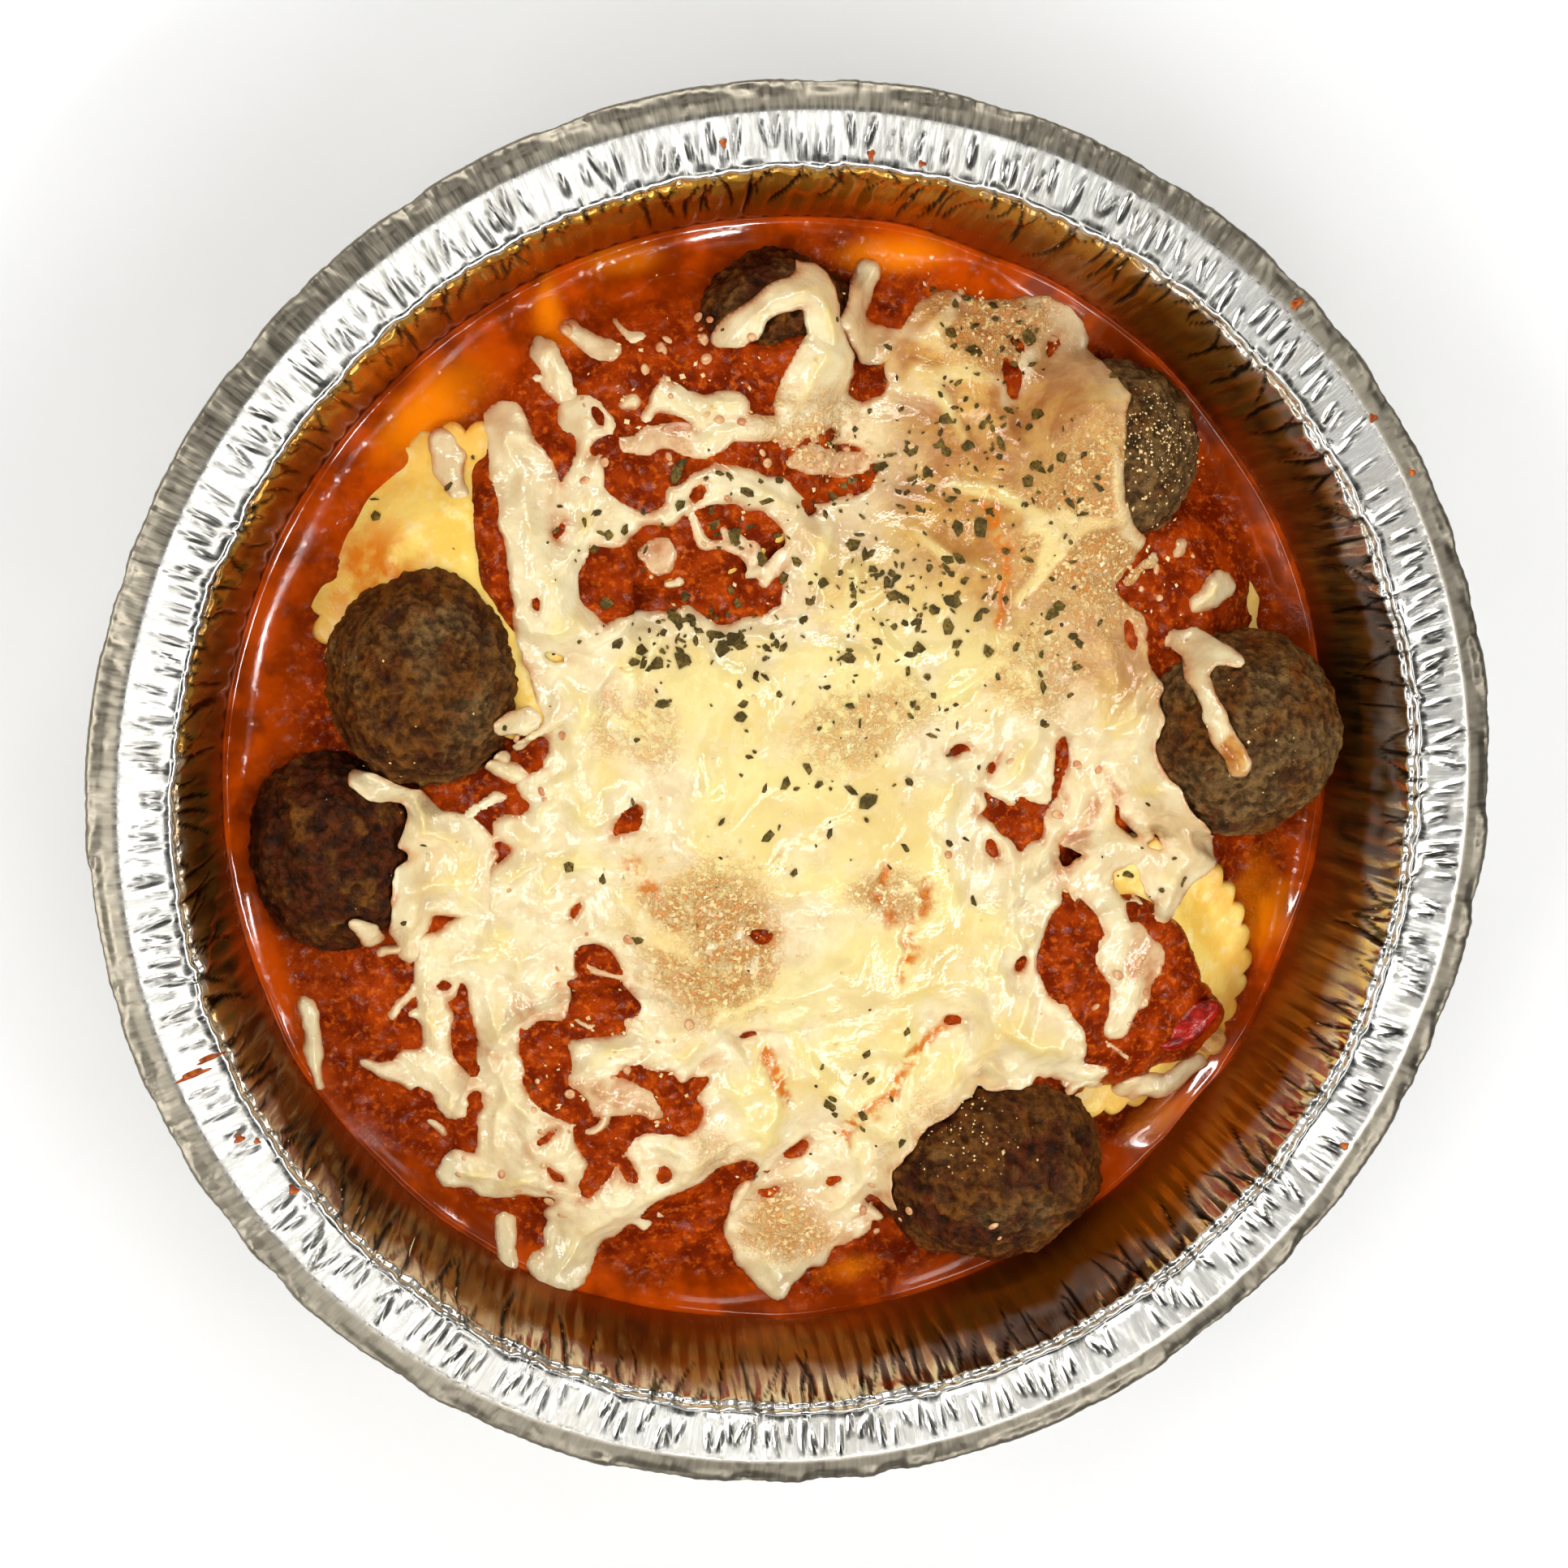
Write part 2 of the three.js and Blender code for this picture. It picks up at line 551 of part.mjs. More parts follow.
const room = panRoom();
const ballCutters = [];
for (const spec of MEATBALLS) {
  const ball = biggest(without(meatball(spec, MEATBALL_DETAIL, 0), ballCutters).intersect(room));
  addPiece(spec.name, ball, MEAT_LOOK);
  ballCutters.push(meatball(spec, CUTTER_DETAIL, GAP + CUTTER_MARGIN));
}

const chunkCutters = [];
for (const spec of CHUNKS) {
  const piece = biggest(without(chunk(spec, 0), chunkCutters).intersect(room));
  addPiece(spec.name, piece, { ...PASTA_LOOK, color: spec.color });
  chunkCutters.push(chunk(spec, GAP));
}

const sheetTopAt = (x, y) => sauceAt(x, y) + GAP / 2 + CHEESE_THICKNESS;
const sheetLayer = layerBetween((x, y) => sauceAt(x, y) + GAP / 2, sheetTopAt, SURFACE_STEP).intersect(room);
const sheetOutline = (grow) => SHEET_PATCHES.map(([x, y, radius]) => discPrism([x, y, radius + grow]))
  .reduce((sum, disc) => sum.add(disc))
  .add(strandPrism(SHEET_STRANDS, grow));
const sheetWindows = SHEET_WINDOWS.map(ellipsePrism);
const wideSheet = sheetOutline(GAP);
const aboveSauce = layerBetween((x, y) => sauceAt(x, y) - GAP / 2, () => PRISM_HEIGHT, SURFACE_STEP);
const roomUnderSheet = aboveSauce.intersect(wideSheet);

const pastaCutters = [];
for (const spec of RAVIOLI) {
  const cutters = [...ballCutters, ...chunkCutters, ...pastaCutters, roomUnderSheet];
  addPiece(spec.name, biggest(without(raviolo(spec), cutters).intersect(room)), PASTA_LOOK);
  pastaCutters.push(ravioloRoom(spec));
}

const sauceBody = layerBetween(() => 0, (x, y) => sauceAt(x, y) - GAP / 2, SURFACE_STEP).intersect(room);
const foodCutters = [...ballCutters, ...chunkCutters, ...pastaCutters];
addPiece('sauce', biggest(without(sauceBody, foodCutters)), SAUCE_LOOK);

const sheetCutters = [...sheetWindows, ...ballCutters, ...chunkCutters];
const bareSheet = biggest(without(sheetLayer.intersect(sheetOutline(0)), sheetCutters));
const herbedSheet = herbFlakes(sheetTopAt).reduce((sum, flake) => sum.add(flake), bareSheet);
addPiece('cheese_sheet', herbedSheet, CHEESE_LOOK);

const pieceLayer = layerBetween(pieceBedAt, (x, y) => pieceBedAt(x, y) + CHEESE_THICKNESS, PIECE_STEP)
  .intersect(room);
const pieceCutters = [wideSheet, ...ballCutters, ...chunkCutters, ...RAVIOLI.map(ravioloCutter)];
for (const piece of CHEESE_PIECES) {
  const outlined = pieceLayer.intersect(strandPrism(piece.strands, 0));
  addPiece(piece.name, biggest(without(outlined, pieceCutters)), CHEESE_LOOK);
}

export default group;
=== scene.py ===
"""Looks of the foil pan of ravioli: crimped foil, tomato sauce, ravioli, meatballs, melted cheese, herbs."""

import math

import bpy
import numpy as np
from mathutils import Matrix, Vector


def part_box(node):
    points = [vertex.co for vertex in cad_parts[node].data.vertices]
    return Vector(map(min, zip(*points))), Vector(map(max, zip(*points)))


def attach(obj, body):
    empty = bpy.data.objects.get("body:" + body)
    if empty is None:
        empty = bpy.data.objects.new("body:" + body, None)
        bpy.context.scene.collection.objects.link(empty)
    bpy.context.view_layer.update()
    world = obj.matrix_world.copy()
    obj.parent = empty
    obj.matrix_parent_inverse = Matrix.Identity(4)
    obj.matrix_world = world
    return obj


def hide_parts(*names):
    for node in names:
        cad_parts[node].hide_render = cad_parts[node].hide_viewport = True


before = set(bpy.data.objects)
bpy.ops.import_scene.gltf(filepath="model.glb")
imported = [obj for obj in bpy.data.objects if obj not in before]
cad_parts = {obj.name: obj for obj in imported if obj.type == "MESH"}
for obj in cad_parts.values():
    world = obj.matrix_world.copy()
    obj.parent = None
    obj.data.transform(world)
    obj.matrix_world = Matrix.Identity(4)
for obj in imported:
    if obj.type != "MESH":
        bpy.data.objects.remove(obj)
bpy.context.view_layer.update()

# Shapes are worked out in millimetres and written in metres
MM = 0.001

# The pan, from the frame, and its profile as in part.mjs
_, pan_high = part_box("foil_pan")
RIM_RADIUS = pan_high.x / MM
PAN_HEIGHT = pan_high.z / MM
BASE_RADIUS = 86.5
BASE_CORNER = 6
MOUTH_RADIUS = 101
CREASE_RADIUS = 110.3
RIM_DROP = 2
ROLL_RADIUS = 0.7
FOIL = 0.35

# The sauce level and heap, as in part.mjs
EDGE_LEVEL = 21.5
EDGE_LEAN = 3.2
EDGE_LEAN_ANGLE = math.radians(135)
SAUCE_RADIUS = 93
HEAP_HEIGHT = 12.5
HEAP_RADIUS = 88
HEAP_X = 3
HEAP_FLATNESS = 2.5
HEAP_FALL = 1.8

# Meatballs: centre, half sizes, turn about Z, and how burnt and how grey each is
MEATBALLS = {
    "meatball_upper_left": ((-61.5, 22, 26.5), (17, 19.3, 17), -12, 0.35, 0.25),
    "meatball_left": ((-77.5, -7, 21.5), (15, 18, 15), 5, 0.85, 0.1),
    "meatball_bottom": ((34.3, -66.8, 23), (21, 17.5, 16.5), 8, 0.5, 0.15),
    "meatball_right": ((75, 9.5, 27), (18.5, 18.5, 17), 20, 0.25, 0.55),
    "meatball_upper_right": ((52.2, 56.2, 23), (16.5, 16.5, 15.5), 40, 0.15, 0.8),
    "meatball_top": ((-4, 76, 21), (15.5, 15, 14.5), 0, 0.5, 0.3),
}

# Ravioli: centre, height over the sauce, and extra tilt outwards
RAVIOLI = {
    "raviolo_upper_left": ((-55, 36.5), 1.2, 3),
    "raviolo_right": ((56.5, -34), 1.6, 0),
    "raviolo_top": ((-22, 62), 0, 2),
    "raviolo_far_right": ((58, 32.5), -0.6, 0),
    "raviolo_bottom": ((-33, -57.5), -0.8, 2),
    "raviolo_lower_right": ((50, -43), -5, 0),
}
RAVIOLO_RADIUS = 26.4
RAVIOLO_TEETH = 32
TOOTH_DEPTH = 1.7
BORDER_HALF = 1
PILLOW_HEIGHT = 4
PILLOW_FROM = 0.42
PILLOW_TO = 0.8


# A height far below the part, for places that a piece doesn't cover
NOWHERE = -100.0


# Numbers and noise

def smooth_step(low, high, value):
    share = np.clip((value - low) / (high - low), 0, 1)
    return share * share * (3 - 2 * share)


def smooth_max(a, b, blend):
    return np.logaddexp(a / blend, b / blend) * blend


def circle(count):
    """Angles spaced evenly once around"""
    return np.arange(count) * 2 * math.pi / count


def ring_at(radius, angles, height):
    """A ring of points about the Z axis, at one height or at one for each angle"""
    heights = np.broadcast_to(height, angles.shape)
    return np.stack([radius * np.cos(angles), radius * np.sin(angles), heights], axis=1)


def lobe(degrees, middle, width):
    """A bell around one direction, 1 at its middle"""
    return np.exp(-(((degrees - middle + 180) % 360 - 180) / width) ** 2)


def noise2(x, y, cell, seed):
    """Smooth noise from -1 to 1, its lumps about one cell wide"""
    size = 128
    table = np.random.default_rng(seed).uniform(-1, 1, (size, size))
    u, v = x / cell, y / cell
    i, j = np.floor(u).astype(int), np.floor(v).astype(int)
    fu, fv = smooth_step(0, 1, u - i), smooth_step(0, 1, v - j)
    i0, i1, j0, j1 = i % size, (i + 1) % size, j % size, (j + 1) % size
    low = table[i0, j0] * (1 - fu) + table[i1, j0] * fu
    high = table[i0, j1] * (1 - fu) + table[i1, j1] * fu
    return low * (1 - fv) + high * fv


def noise3(points, cell, seed):
    """The same in three dimensions, for an array of points"""
    size = 32
    table = np.random.default_rng(seed).uniform(-1, 1, (size, size, size))
    scaled = points / cell
    whole = np.floor(scaled).astype(int)
    part = smooth_step(0, 1, scaled - whole)
    total = 0
    for corner in range(8):
        step = np.array([corner & 1, corner >> 1 & 1, corner >> 2 & 1])
        at = (whole + step) % size
        weight = np.prod(np.where(step == 1, part, 1 - part), axis=-1)
        total = total + table[at[..., 0], at[..., 1], at[..., 2]] * weight
    return total


def blurred(field, radius):
    """A grid field softened by a Gaussian of that radius"""
    reach = int(3 * radius / GRID_STEP)
    kernel = np.exp(-0.5 * (np.arange(-reach, reach + 1) * GRID_STEP / radius) ** 2)
    kernel /= kernel.sum()
    padded = np.pad(field, reach, mode="edge")
    rows = sum(k * padded[n:n + field.shape[0], :] for n, k in enumerate(kernel))
    return sum(k * rows[:, n:n + field.shape[1]] for n, k in enumerate(kernel))


# The food as height fields on one square grid

GRID_STEP = 0.55
GRID_REACH = 99
axis = np.arange(-GRID_REACH, GRID_REACH + GRID_STEP / 2, GRID_STEP)
grid_x, grid_y = np.meshgrid(axis, axis, indexing="ij")
grid_r = np.hypot(grid_x, grid_y)


def sample(field, x, y):
    """A grid field at any points, in between its grid points too"""
    u = np.clip((np.asarray(x) + GRID_REACH) / GRID_STEP, 0, len(axis) - 1.001)
    v = np.clip((np.asarray(y) + GRID_REACH) / GRID_STEP, 0, len(axis) - 1.001)
    i, j = u.astype(int), v.astype(int)
    fu, fv = u - i, v - j
    low = field[i, j] * (1 - fu) + field[i + 1, j] * fu
    high = field[i, j + 1] * (1 - fu) + field[i + 1, j + 1] * fu
    return low * (1 - fv) + high * fv


def wall_radius(height):
    return BASE_RADIUS + (MOUTH_RADIUS - BASE_RADIUS) * height / PAN_HEIGHT


def pool_at(x, y):
    along = x * math.cos(EDGE_LEAN_ANGLE) + y * math.sin(EDGE_LEAN_ANGLE)
    share = np.minimum(1, np.hypot(x - HEAP_X, y) / HEAP_RADIUS)
    heap = HEAP_HEIGHT * (1 - share ** HEAP_FLATNESS) ** HEAP_FALL
    return EDGE_LEVEL + EDGE_LEAN * along / SAUCE_RADIUS + heap


def spot(x, y, half_x, half_y, turn=0, at_x=None, at_y=None):
    """How far inside an ellipse each point lies: 1 at its middle, 0 on its edge"""
    at_x = grid_x if at_x is None else at_x
    at_y = grid_y if at_y is None else at_y
    c, s = math.cos(math.radians(turn)), math.sin(math.radians(turn))
    dx, dy = at_x - x, at_y - y
    return 1 - np.hypot((dx * c + dy * s) / half_x, (dy * c - dx * s) / half_y)


def raviolo_axes(name):
    (x, y), lift, tilt = RAVIOLI[name]
    reach = 6
    slope_x = (pool_at(x + reach, y) - pool_at(x - reach, y)) / (2 * reach)
    slope_y = (pool_at(x, y + reach) - pool_at(x, y - reach)) / (2 * reach)
    away = math.hypot(x, y)
    extra = math.tan(math.radians(tilt))
    up = Vector((-slope_x + extra * x / away, -slope_y + extra * y / away, 1)).normalized()
    return Vector((x, y, pool_at(x, y) + lift)), up


def pillow(share):
    """The top of a raviolo over its middle plane, at a share of its radius"""
    rise = 1 - smooth_step(PILLOW_FROM, PILLOW_TO, share)
    round_edge = np.sqrt(np.clip(1 - np.clip((share - 0.94) / 0.06, 0, 1) ** 2, 0, 1))
    return BORDER_HALF * round_edge + PILLOW_HEIGHT * rise


def raviolo_top(name):
    centre, up = raviolo_axes(name)
    dx, dy = grid_x - centre.x, grid_y - centre.y
    share = np.hypot(dx, dy) / RAVIOLO_RADIUS
    top = centre.z - (up.x * dx + up.y * dy) / up.z + pillow(np.minimum(share, 1))
    return np.where(share < 1, top, NOWHERE)


def meatball_top(name):
    (x, y, z), (half_x, half_y, half_z), turn, _, _ = MEATBALLS[name]
    c, s = math.cos(math.radians(turn)), math.sin(math.radians(turn))
    dx, dy = grid_x - x, grid_y - y
    inside = 1 - ((dx * c + dy * s) / half_x) ** 2 - ((dy * c - dx * s) / half_y) ** 2
    return np.where(inside > 0, z + half_z * np.sqrt(np.maximum(inside, 0)), NOWHERE)


# Where thin sauce covers the ravioli, and one meatball: centre, half sizes, turn, thickness
RAVIOLI_COATS = [
    (-39, 46, 16.5, 22, 0, 0.9), (-22, 62, 28, 26, 0, 0.8),
    (56, -36, 15, 19, 8, 1.1), (66, -44, 12, 7, 25, 0.8), (55, 32, 26, 27, 0, 0.7),
    (-33, -57, 32, 30, 0, 0.8), (38, -36, 22, 22, 0, 0.8),
]
MEATBALL_COATS = [(-6, 65, 17, 11, 0, 0.6)]
PULP_BITS = 5200
LUMP_DROP = 0.3
LOWEST_LUMP = -0.35
RIPPLE_HEIGHT = 0.12
HOLLOW_DEPTH = 1.6
CLIMB_HEIGHT = 3.3
CLIMB_WIDTH = 4.5
EDGE_DIP = 1.0
EDGE_RISE = CLIMB_HEIGHT - EDGE_DIP

pool = pool_at(grid_x, grid_y)
wall_gap = wall_radius(pool) - grid_r
ravioli_top = np.max([raviolo_top(name) for name in RAVIOLI], axis=0)
balls_top = np.max([meatball_top(name) for name in MEATBALLS], axis=0)
solid_top = np.maximum(ravioli_top, balls_top)

pulp = smooth_step(4, 13, wall_gap)
lumps = 0.5 * noise2(grid_x, grid_y, 4.3, 1) + 0.3 * noise2(grid_x, grid_y, 2.1, 2)


def pulp_bits():
    """Bits of tomato, each a soft lump in the sauce"""
    draw = np.random.default_rng(8)
    field = np.zeros_like(pool)
    for _ in range(PULP_BITS):
        x, y = draw.uniform(-90, 90, 2)
        half = draw.uniform(0.6, 1.7) * np.array([1, draw.uniform(0.5, 1)])
        turn, tall = draw.uniform(0, math.pi), draw.uniform(0.25, 0.8)
        i, j = int((x + GRID_REACH) / GRID_STEP), int((y + GRID_REACH) / GRID_STEP)
        box = (slice(i - 5, i + 7), slice(j - 5, j + 7))
        inside = spot(x, y, half[0], half[1], math.degrees(turn), grid_x[box], grid_y[box])
        bump = tall * np.sqrt(np.clip(1 - (1 - np.clip(inside, 0, 1)) ** 2, 0, 1))
        field[box] = np.maximum(field[box], bump)
    return blurred(field, 0.22)


lumps = np.maximum(lumps + pulp_bits() - LUMP_DROP, LOWEST_LUMP)
warp_x = 1.6 * noise2(grid_x, grid_y, 7, 4)
warp_y = 1.6 * noise2(grid_x, grid_y, 7, 5)
coat = np.full_like(pool, NOWHERE)
for carrier, coats in ((ravioli_top, RAVIOLI_COATS), (balls_top, MEATBALL_COATS)):
    for x, y, half_x, half_y, turn, thick in coats:
        inside = spot(x, y, half_x, half_y, turn, grid_x + warp_x, grid_y + warp_y)
        over = carrier - 1.5 + (2.1 + thick) * smooth_step(-0.02, 0.14, inside)
        coat = np.maximum(coat, np.where(inside > -0.05, over, NOWHERE))

# The pool sinks a little under the lower right raviolo, which lies bare and low
hollow = HOLLOW_DEPTH * smooth_step(0, 0.5, spot(62, -57, 17, 10, 25))
sauce_top = smooth_max(pool - hollow, coat, 0.35) + lumps * pulp

# The sauce climbs the wall by an uneven height and width, and dips a little before it
uneven = noise2(grid_x, grid_y, 15, 7)
climb_width = CLIMB_WIDTH * (1 + 0.4 * noise2(grid_x, grid_y, 21, 9))
climb = CLIMB_HEIGHT * (1 + 0.3 * uneven) * np.exp(-np.maximum(wall_gap, 0) / climb_width)
climb = climb - EDGE_DIP * smooth_step(16, 6, wall_gap)
ripple = RIPPLE_HEIGHT * noise2(grid_x, grid_y, 9, 6)
sauce_top = sauce_top + climb + ripple
bed = np.maximum(sauce_top, solid_top)


# Melted cheese: patches are a middle and a radius, strands are points and half widths along a line

def span_depth(x, y, start, end):
    """How deep each point lies inside a strand that runs from one half width to another"""
    (ax, ay, ar), (bx, by, br) = start, end
    dx, dy = bx - ax, by - ay
    along = np.clip(((x - ax) * dx + (y - ay) * dy) / (dx * dx + dy * dy), 0, 1)
    return ar + (br - ar) * along - np.hypot(x - ax - along * dx, y - ay - along * dy)


SHEET_PATCHES = [
    (0, 5, 28), (20, 43, 25), (38, 20, 21), (45, 47, 13), (27, 70, 13), (40, 75, 8),
    (15, -25, 26), (-12, -22, 20), (26, -43, 15), (-25, 18, 15), (2, -48, 18),
    (-40, -15, 9), (-50, -21, 7.5), (-45, -25, 7), (-33, -12, 12), (-22, -34, 10), (-2, -75, 7.5),
    (3, -77, 5), (-4, -82, 4), (47, 62, 8.5),
]
SHEET_STRANDS = [
    [(-48, 61, 3.6), (-46, 48, 4), (-42, 31, 5.6), (-37, 20, 6.5), (-34, 0, 9)],
    [(-36, 63, 3.3), (-35, 53, 3.5), (-38, 47, 3.8), (-42, 38, 4.6)],
    [(-33, 46, 3.4), (-25, 49.5, 3), (-13, 53.5, 3.3), (-5, 50, 3.3), (3, 46, 4)],
    [(-17, 60.5, 2.2), (-9, 60, 2.4), (-3, 60.5, 2.2)],
    [(-23, 66.3, 1.7), (-18, 65, 1.9), (-12, 65, 1.7)],
    [(2, 72, 4.6), (0, 66, 4.5), (6, 62, 5)],
    [
        (54, 12, 5.5), (58, 4, 5.5), (64, -6, 6.3), (67.5, -11, 5.8), (63, -16, 5.5), (53, -12, 3.5),
        (48, 0, 4),
    ],
    [(46, -8, 4.4), (50, -18, 3.2), (52, -23, 2.8), (55, -31, 2.6), (55, -40, 2.2)],
    [(40, -13, 4), (36, -20, 4), (34, -32, 6), (40, -42, 7), (44, -45, 4)],
    [(45, -48, 2), (50, -50, 2.1)],
    [(32, -45, 9), (20, -50, 10), (11, -56, 10), (8, -66, 6), (7, -73, 4)],
    [(-7, -72, 5.5), (-6, -82, 4), (-4, -87, 3.2)],
    [(0, -68, 4), (6, -75, 2.6), (3, -82, 2.4), (-3, -86, 2.6)],
    [(0, -45, 8), (-12, -55, 7), (-28, -63.5, 6), (-36, -71, 5), (-42, -82, 4.2)],
    [(-62, -24, 2.6), (-62, -36, 2.3), (-60.5, -46, 3.3), (-60, -52, 2)],
    [(-60, -26, 2.6), (-52, -25, 4.5)],
    [(-66, -44, 2), (-60, -46, 2.6)],
    [(-53, -28, 3.2), (-51, -38, 3.2), (-49, -46, 3.3), (-52, -53, 2.8), (-51, -60, 2.8), (-50, -65, 3)],
    [(-59, -63, 3), (-52, -65.5, 3.4), (-45, -65, 3.3), (-40, -62, 3.6)],
    [(-49, -48, 2.8), (-43, -58, 3.8), (-40, -64, 4)],
    [(-40, -43, 3.2), (-30, -42, 3.4), (-22, -42, 4.4)],
    [(-44, 4, 2.8), (-38, 6, 4)],
    [(-49, -3, 1.8), (-45, -6, 2.2), (-40, -8, 3)],
    [(48, 62, 3), (46, 70, 3)],
    [(-62, -25, 1.2), (-50, -13, 3), (-40, 3, 3)],
    [(-59, 60, 1.4), (-57.5, 55, 2.2), (-56, 51, 1.2)],
]
# Windows in the sheet show the sauce: middle, half sizes, turn
SHEET_WINDOWS = [
    (-29, 54, 4.2, 6.4, 8), (-24, 56, 4, 3.4, 0), (5, 54.5, 7.6, 4.8, 0), (-9, 57, 6, 2, 0),
    (-25, 41.5, 4.6, 4.6, 0), (-39, 57, 0.9, 3.2, 0), (-40.5, 47, 0.9, 2.6, 10),
    (47, -7, 6.3, 1.6, 57), (43, 4, 1.4, 6, -4), (43, -2, 1.9, 2, 0), (55, -15.5, 2.4, 1.7, 0),
    (45, -26, 5.2, 9, -10), (58, -29, 3.8, 4, 0), (59, -27, 3, 8, 20),
    (-57, -40, 2.6, 6, 8), (-43.5, -43, 3.3, 8.5, 0), (-39, -50, 4.4, 3.6, 0),
    (-36, -32.5, 6.6, 3, -8), (-26, -50, 8.8, 4.9, -20), (-34, -62, 1.6, 5.6, -35),
    (-21, -72, 3.8, 2.6, 15), (-8, -22, 2.4, 1, 0), (25.5, -39.5, 1.4, 1.1, 0),
    (12, 78, 3.6, 3.4, 0), (-1, -62, 2.4, 1.1, 40), (31, 79, 3.6, 1.4, -30), (36, 70, 1.4, 3, 20),
]
CHEESE_PIECES = {
    "cheese_left_patch": [
        [
            (-74, 6, 1.2), (-70, 4, 1.8), (-65, 1, 2.2), (-62, -3, 4), (-57, -6, 5.4), (-59, -12, 6),
            (-65, -12, 4.4),
        ],
        [(-65, -13, 4), (-66, -19, 3.6), (-66, -24, 2.4)],
        [(-59, -12, 5), (-54, -17, 3.4)],
    ],
    "cheese_left_strip": [[(-83, -34, 2), (-82.3, -41, 2.3), (-81, -47.5, 1)]],
    "cheese_left_scrap": [[(-74, -17.5, 1.6), (-72, -21.5, 1.9)]],
    "cheese_upper_strip": [[(-42, 74, 2.6), (-40, 69, 2.5), (-38.5, 66.5, 2.1)]],
    "cheese_upper_scrap": [[(-37, 77, 1.5), (-31, 73, 1.6)]],
    "cheese_top_strand": [
        [(-12, 77.3, 2.5), (-6, 81.6, 2.6), (0, 85, 2.8), (1.5, 80, 2.8), (2.5, 74, 4)],
        [(-14, 76.5, 1.8), (-11, 77.5, 2.3)],
    ],
    "cheese_top_loop": [[(11, 86, 2.2), (8.6, 82, 2.3), (7.4, 78, 2.1), (9.5, 74.6, 2.3), (15, 74.5, 2.6)]],
    "cheese_middle_strip": [[(-23, 67, 1.8), (-17, 65.5, 1.8)]],
    "cheese_upper_dot": [[(-29.6, 66, 1.3), (-28, 66, 1.6)]],
    "cheese_meatball_shred": [[(-50.5, 15, 1.5), (-46, 15, 2.2)]],
    "cheese_lower_meatball_shred": [[(-52, 7, 1.4), (-47, 6.4, 2)]],
    "cheese_meatball_strand": [
        [(66, 25, 1.6), (64.4, 20, 1.3), (66.4, 14, 1.4), (68.6, 9, 2), (70.6, 6, 2.3)],
        [(63, 25.5, 1.6), (67, 25.4, 2), (70, 23.5, 1.3)],
    ],
    "cheese_right_scrap": [[(67.5, 31.5, 2.2), (71, 33.5, 2.8), (74, 34, 2.2)]],
    "cheese_lower_right_strip": [[(58, -54, 2.2), (66, -55, 2.5), (73, -51, 2.1)]],
    "cheese_corner_scrap": [[(47, -52.5, 1.4), (51, -51.5, 1.8)]],
    "cheese_bottom_prong": [[(-51, -74, 2), (-50, -80, 2.3)]],
}

# Meatballs stay bare of cheese here: middle, half sizes, turn
BARE_BALLS = [
    (-63, 21, 15.5, 19, -12), (-78, -7, 13.6, 17, 5), (35, -68, 20, 16.6, 8),
    (76, 9, 16.5, 17.5, 20), (62, 57, 11, 15, 0),
]

# Thin skins of cheese between the strands: middle, half sizes, turn
VEILS = [
    (-25, 41.5, 3.4, 3, 0), (-22, 60, 9, 3, 5), (-37, 6, 6, 8, 0), (-51, -38, 3, 8, 0), (56, -30, 5, 8, 10),
    (8, -79, 5, 4, 0), (5, 56, 7, 2.6, 0), (-43, 52, 3, 8, 5), (-33, -49, 8, 3.5, -25), (28, 79, 9, 4, 0),
    (48, -4, 6, 8, 30), (-45, -30, 5, 7, 0), (14, -66, 8, 6, 20), (46, 62, 4, 7, 0), (-32, -70, 5, 3, -40),
]
VEIL_SHARE = 0.32

CHEESE_THICKNESS = 2.2
STRAND_THICKNESS = 0.95
CHEESE_EDGE = 1.5
CHEESE_SINK = 0.3
CHEESE_KEEL = 0.9
OUTSIDE = -50.0
STRAY_SHREDS = 60
SMALL_GAPS = 34
SOFT_SHREDS = 190

# Noise of three sizes bends the cheese's outlines: how far, cell, and the seeds for x and y
cheese_x, cheese_y = grid_x, grid_y
for far, cell, seed_x, seed_y in ((1.2, 6, 11, 13), (0.5, 2.6, 12, 14), (0.2, 1.3, 18, 19)):
    cheese_x = cheese_x + far * noise2(grid_x, grid_y, cell, seed_x)
    cheese_y = cheese_y + far * noise2(grid_x, grid_y, cell, seed_y)


def strands_depth(strands):
    depth = np.full_like(pool, OUTSIDE)
    for strand in strands:
        for start, end in zip(strand, strand[1:]):
            depth = smooth_max(depth, span_depth(cheese_x, cheese_y, start, end), 0.55)
    return depth


def push_out(depth, shapes):
    for x, y, half_x, half_y, turn in shapes:
        hole = spot(x, y, half_x, half_y, turn, cheese_x, cheese_y) * min(half_x, half_y)
        depth = -smooth_max(-depth, hole, 0.25)
    return depth


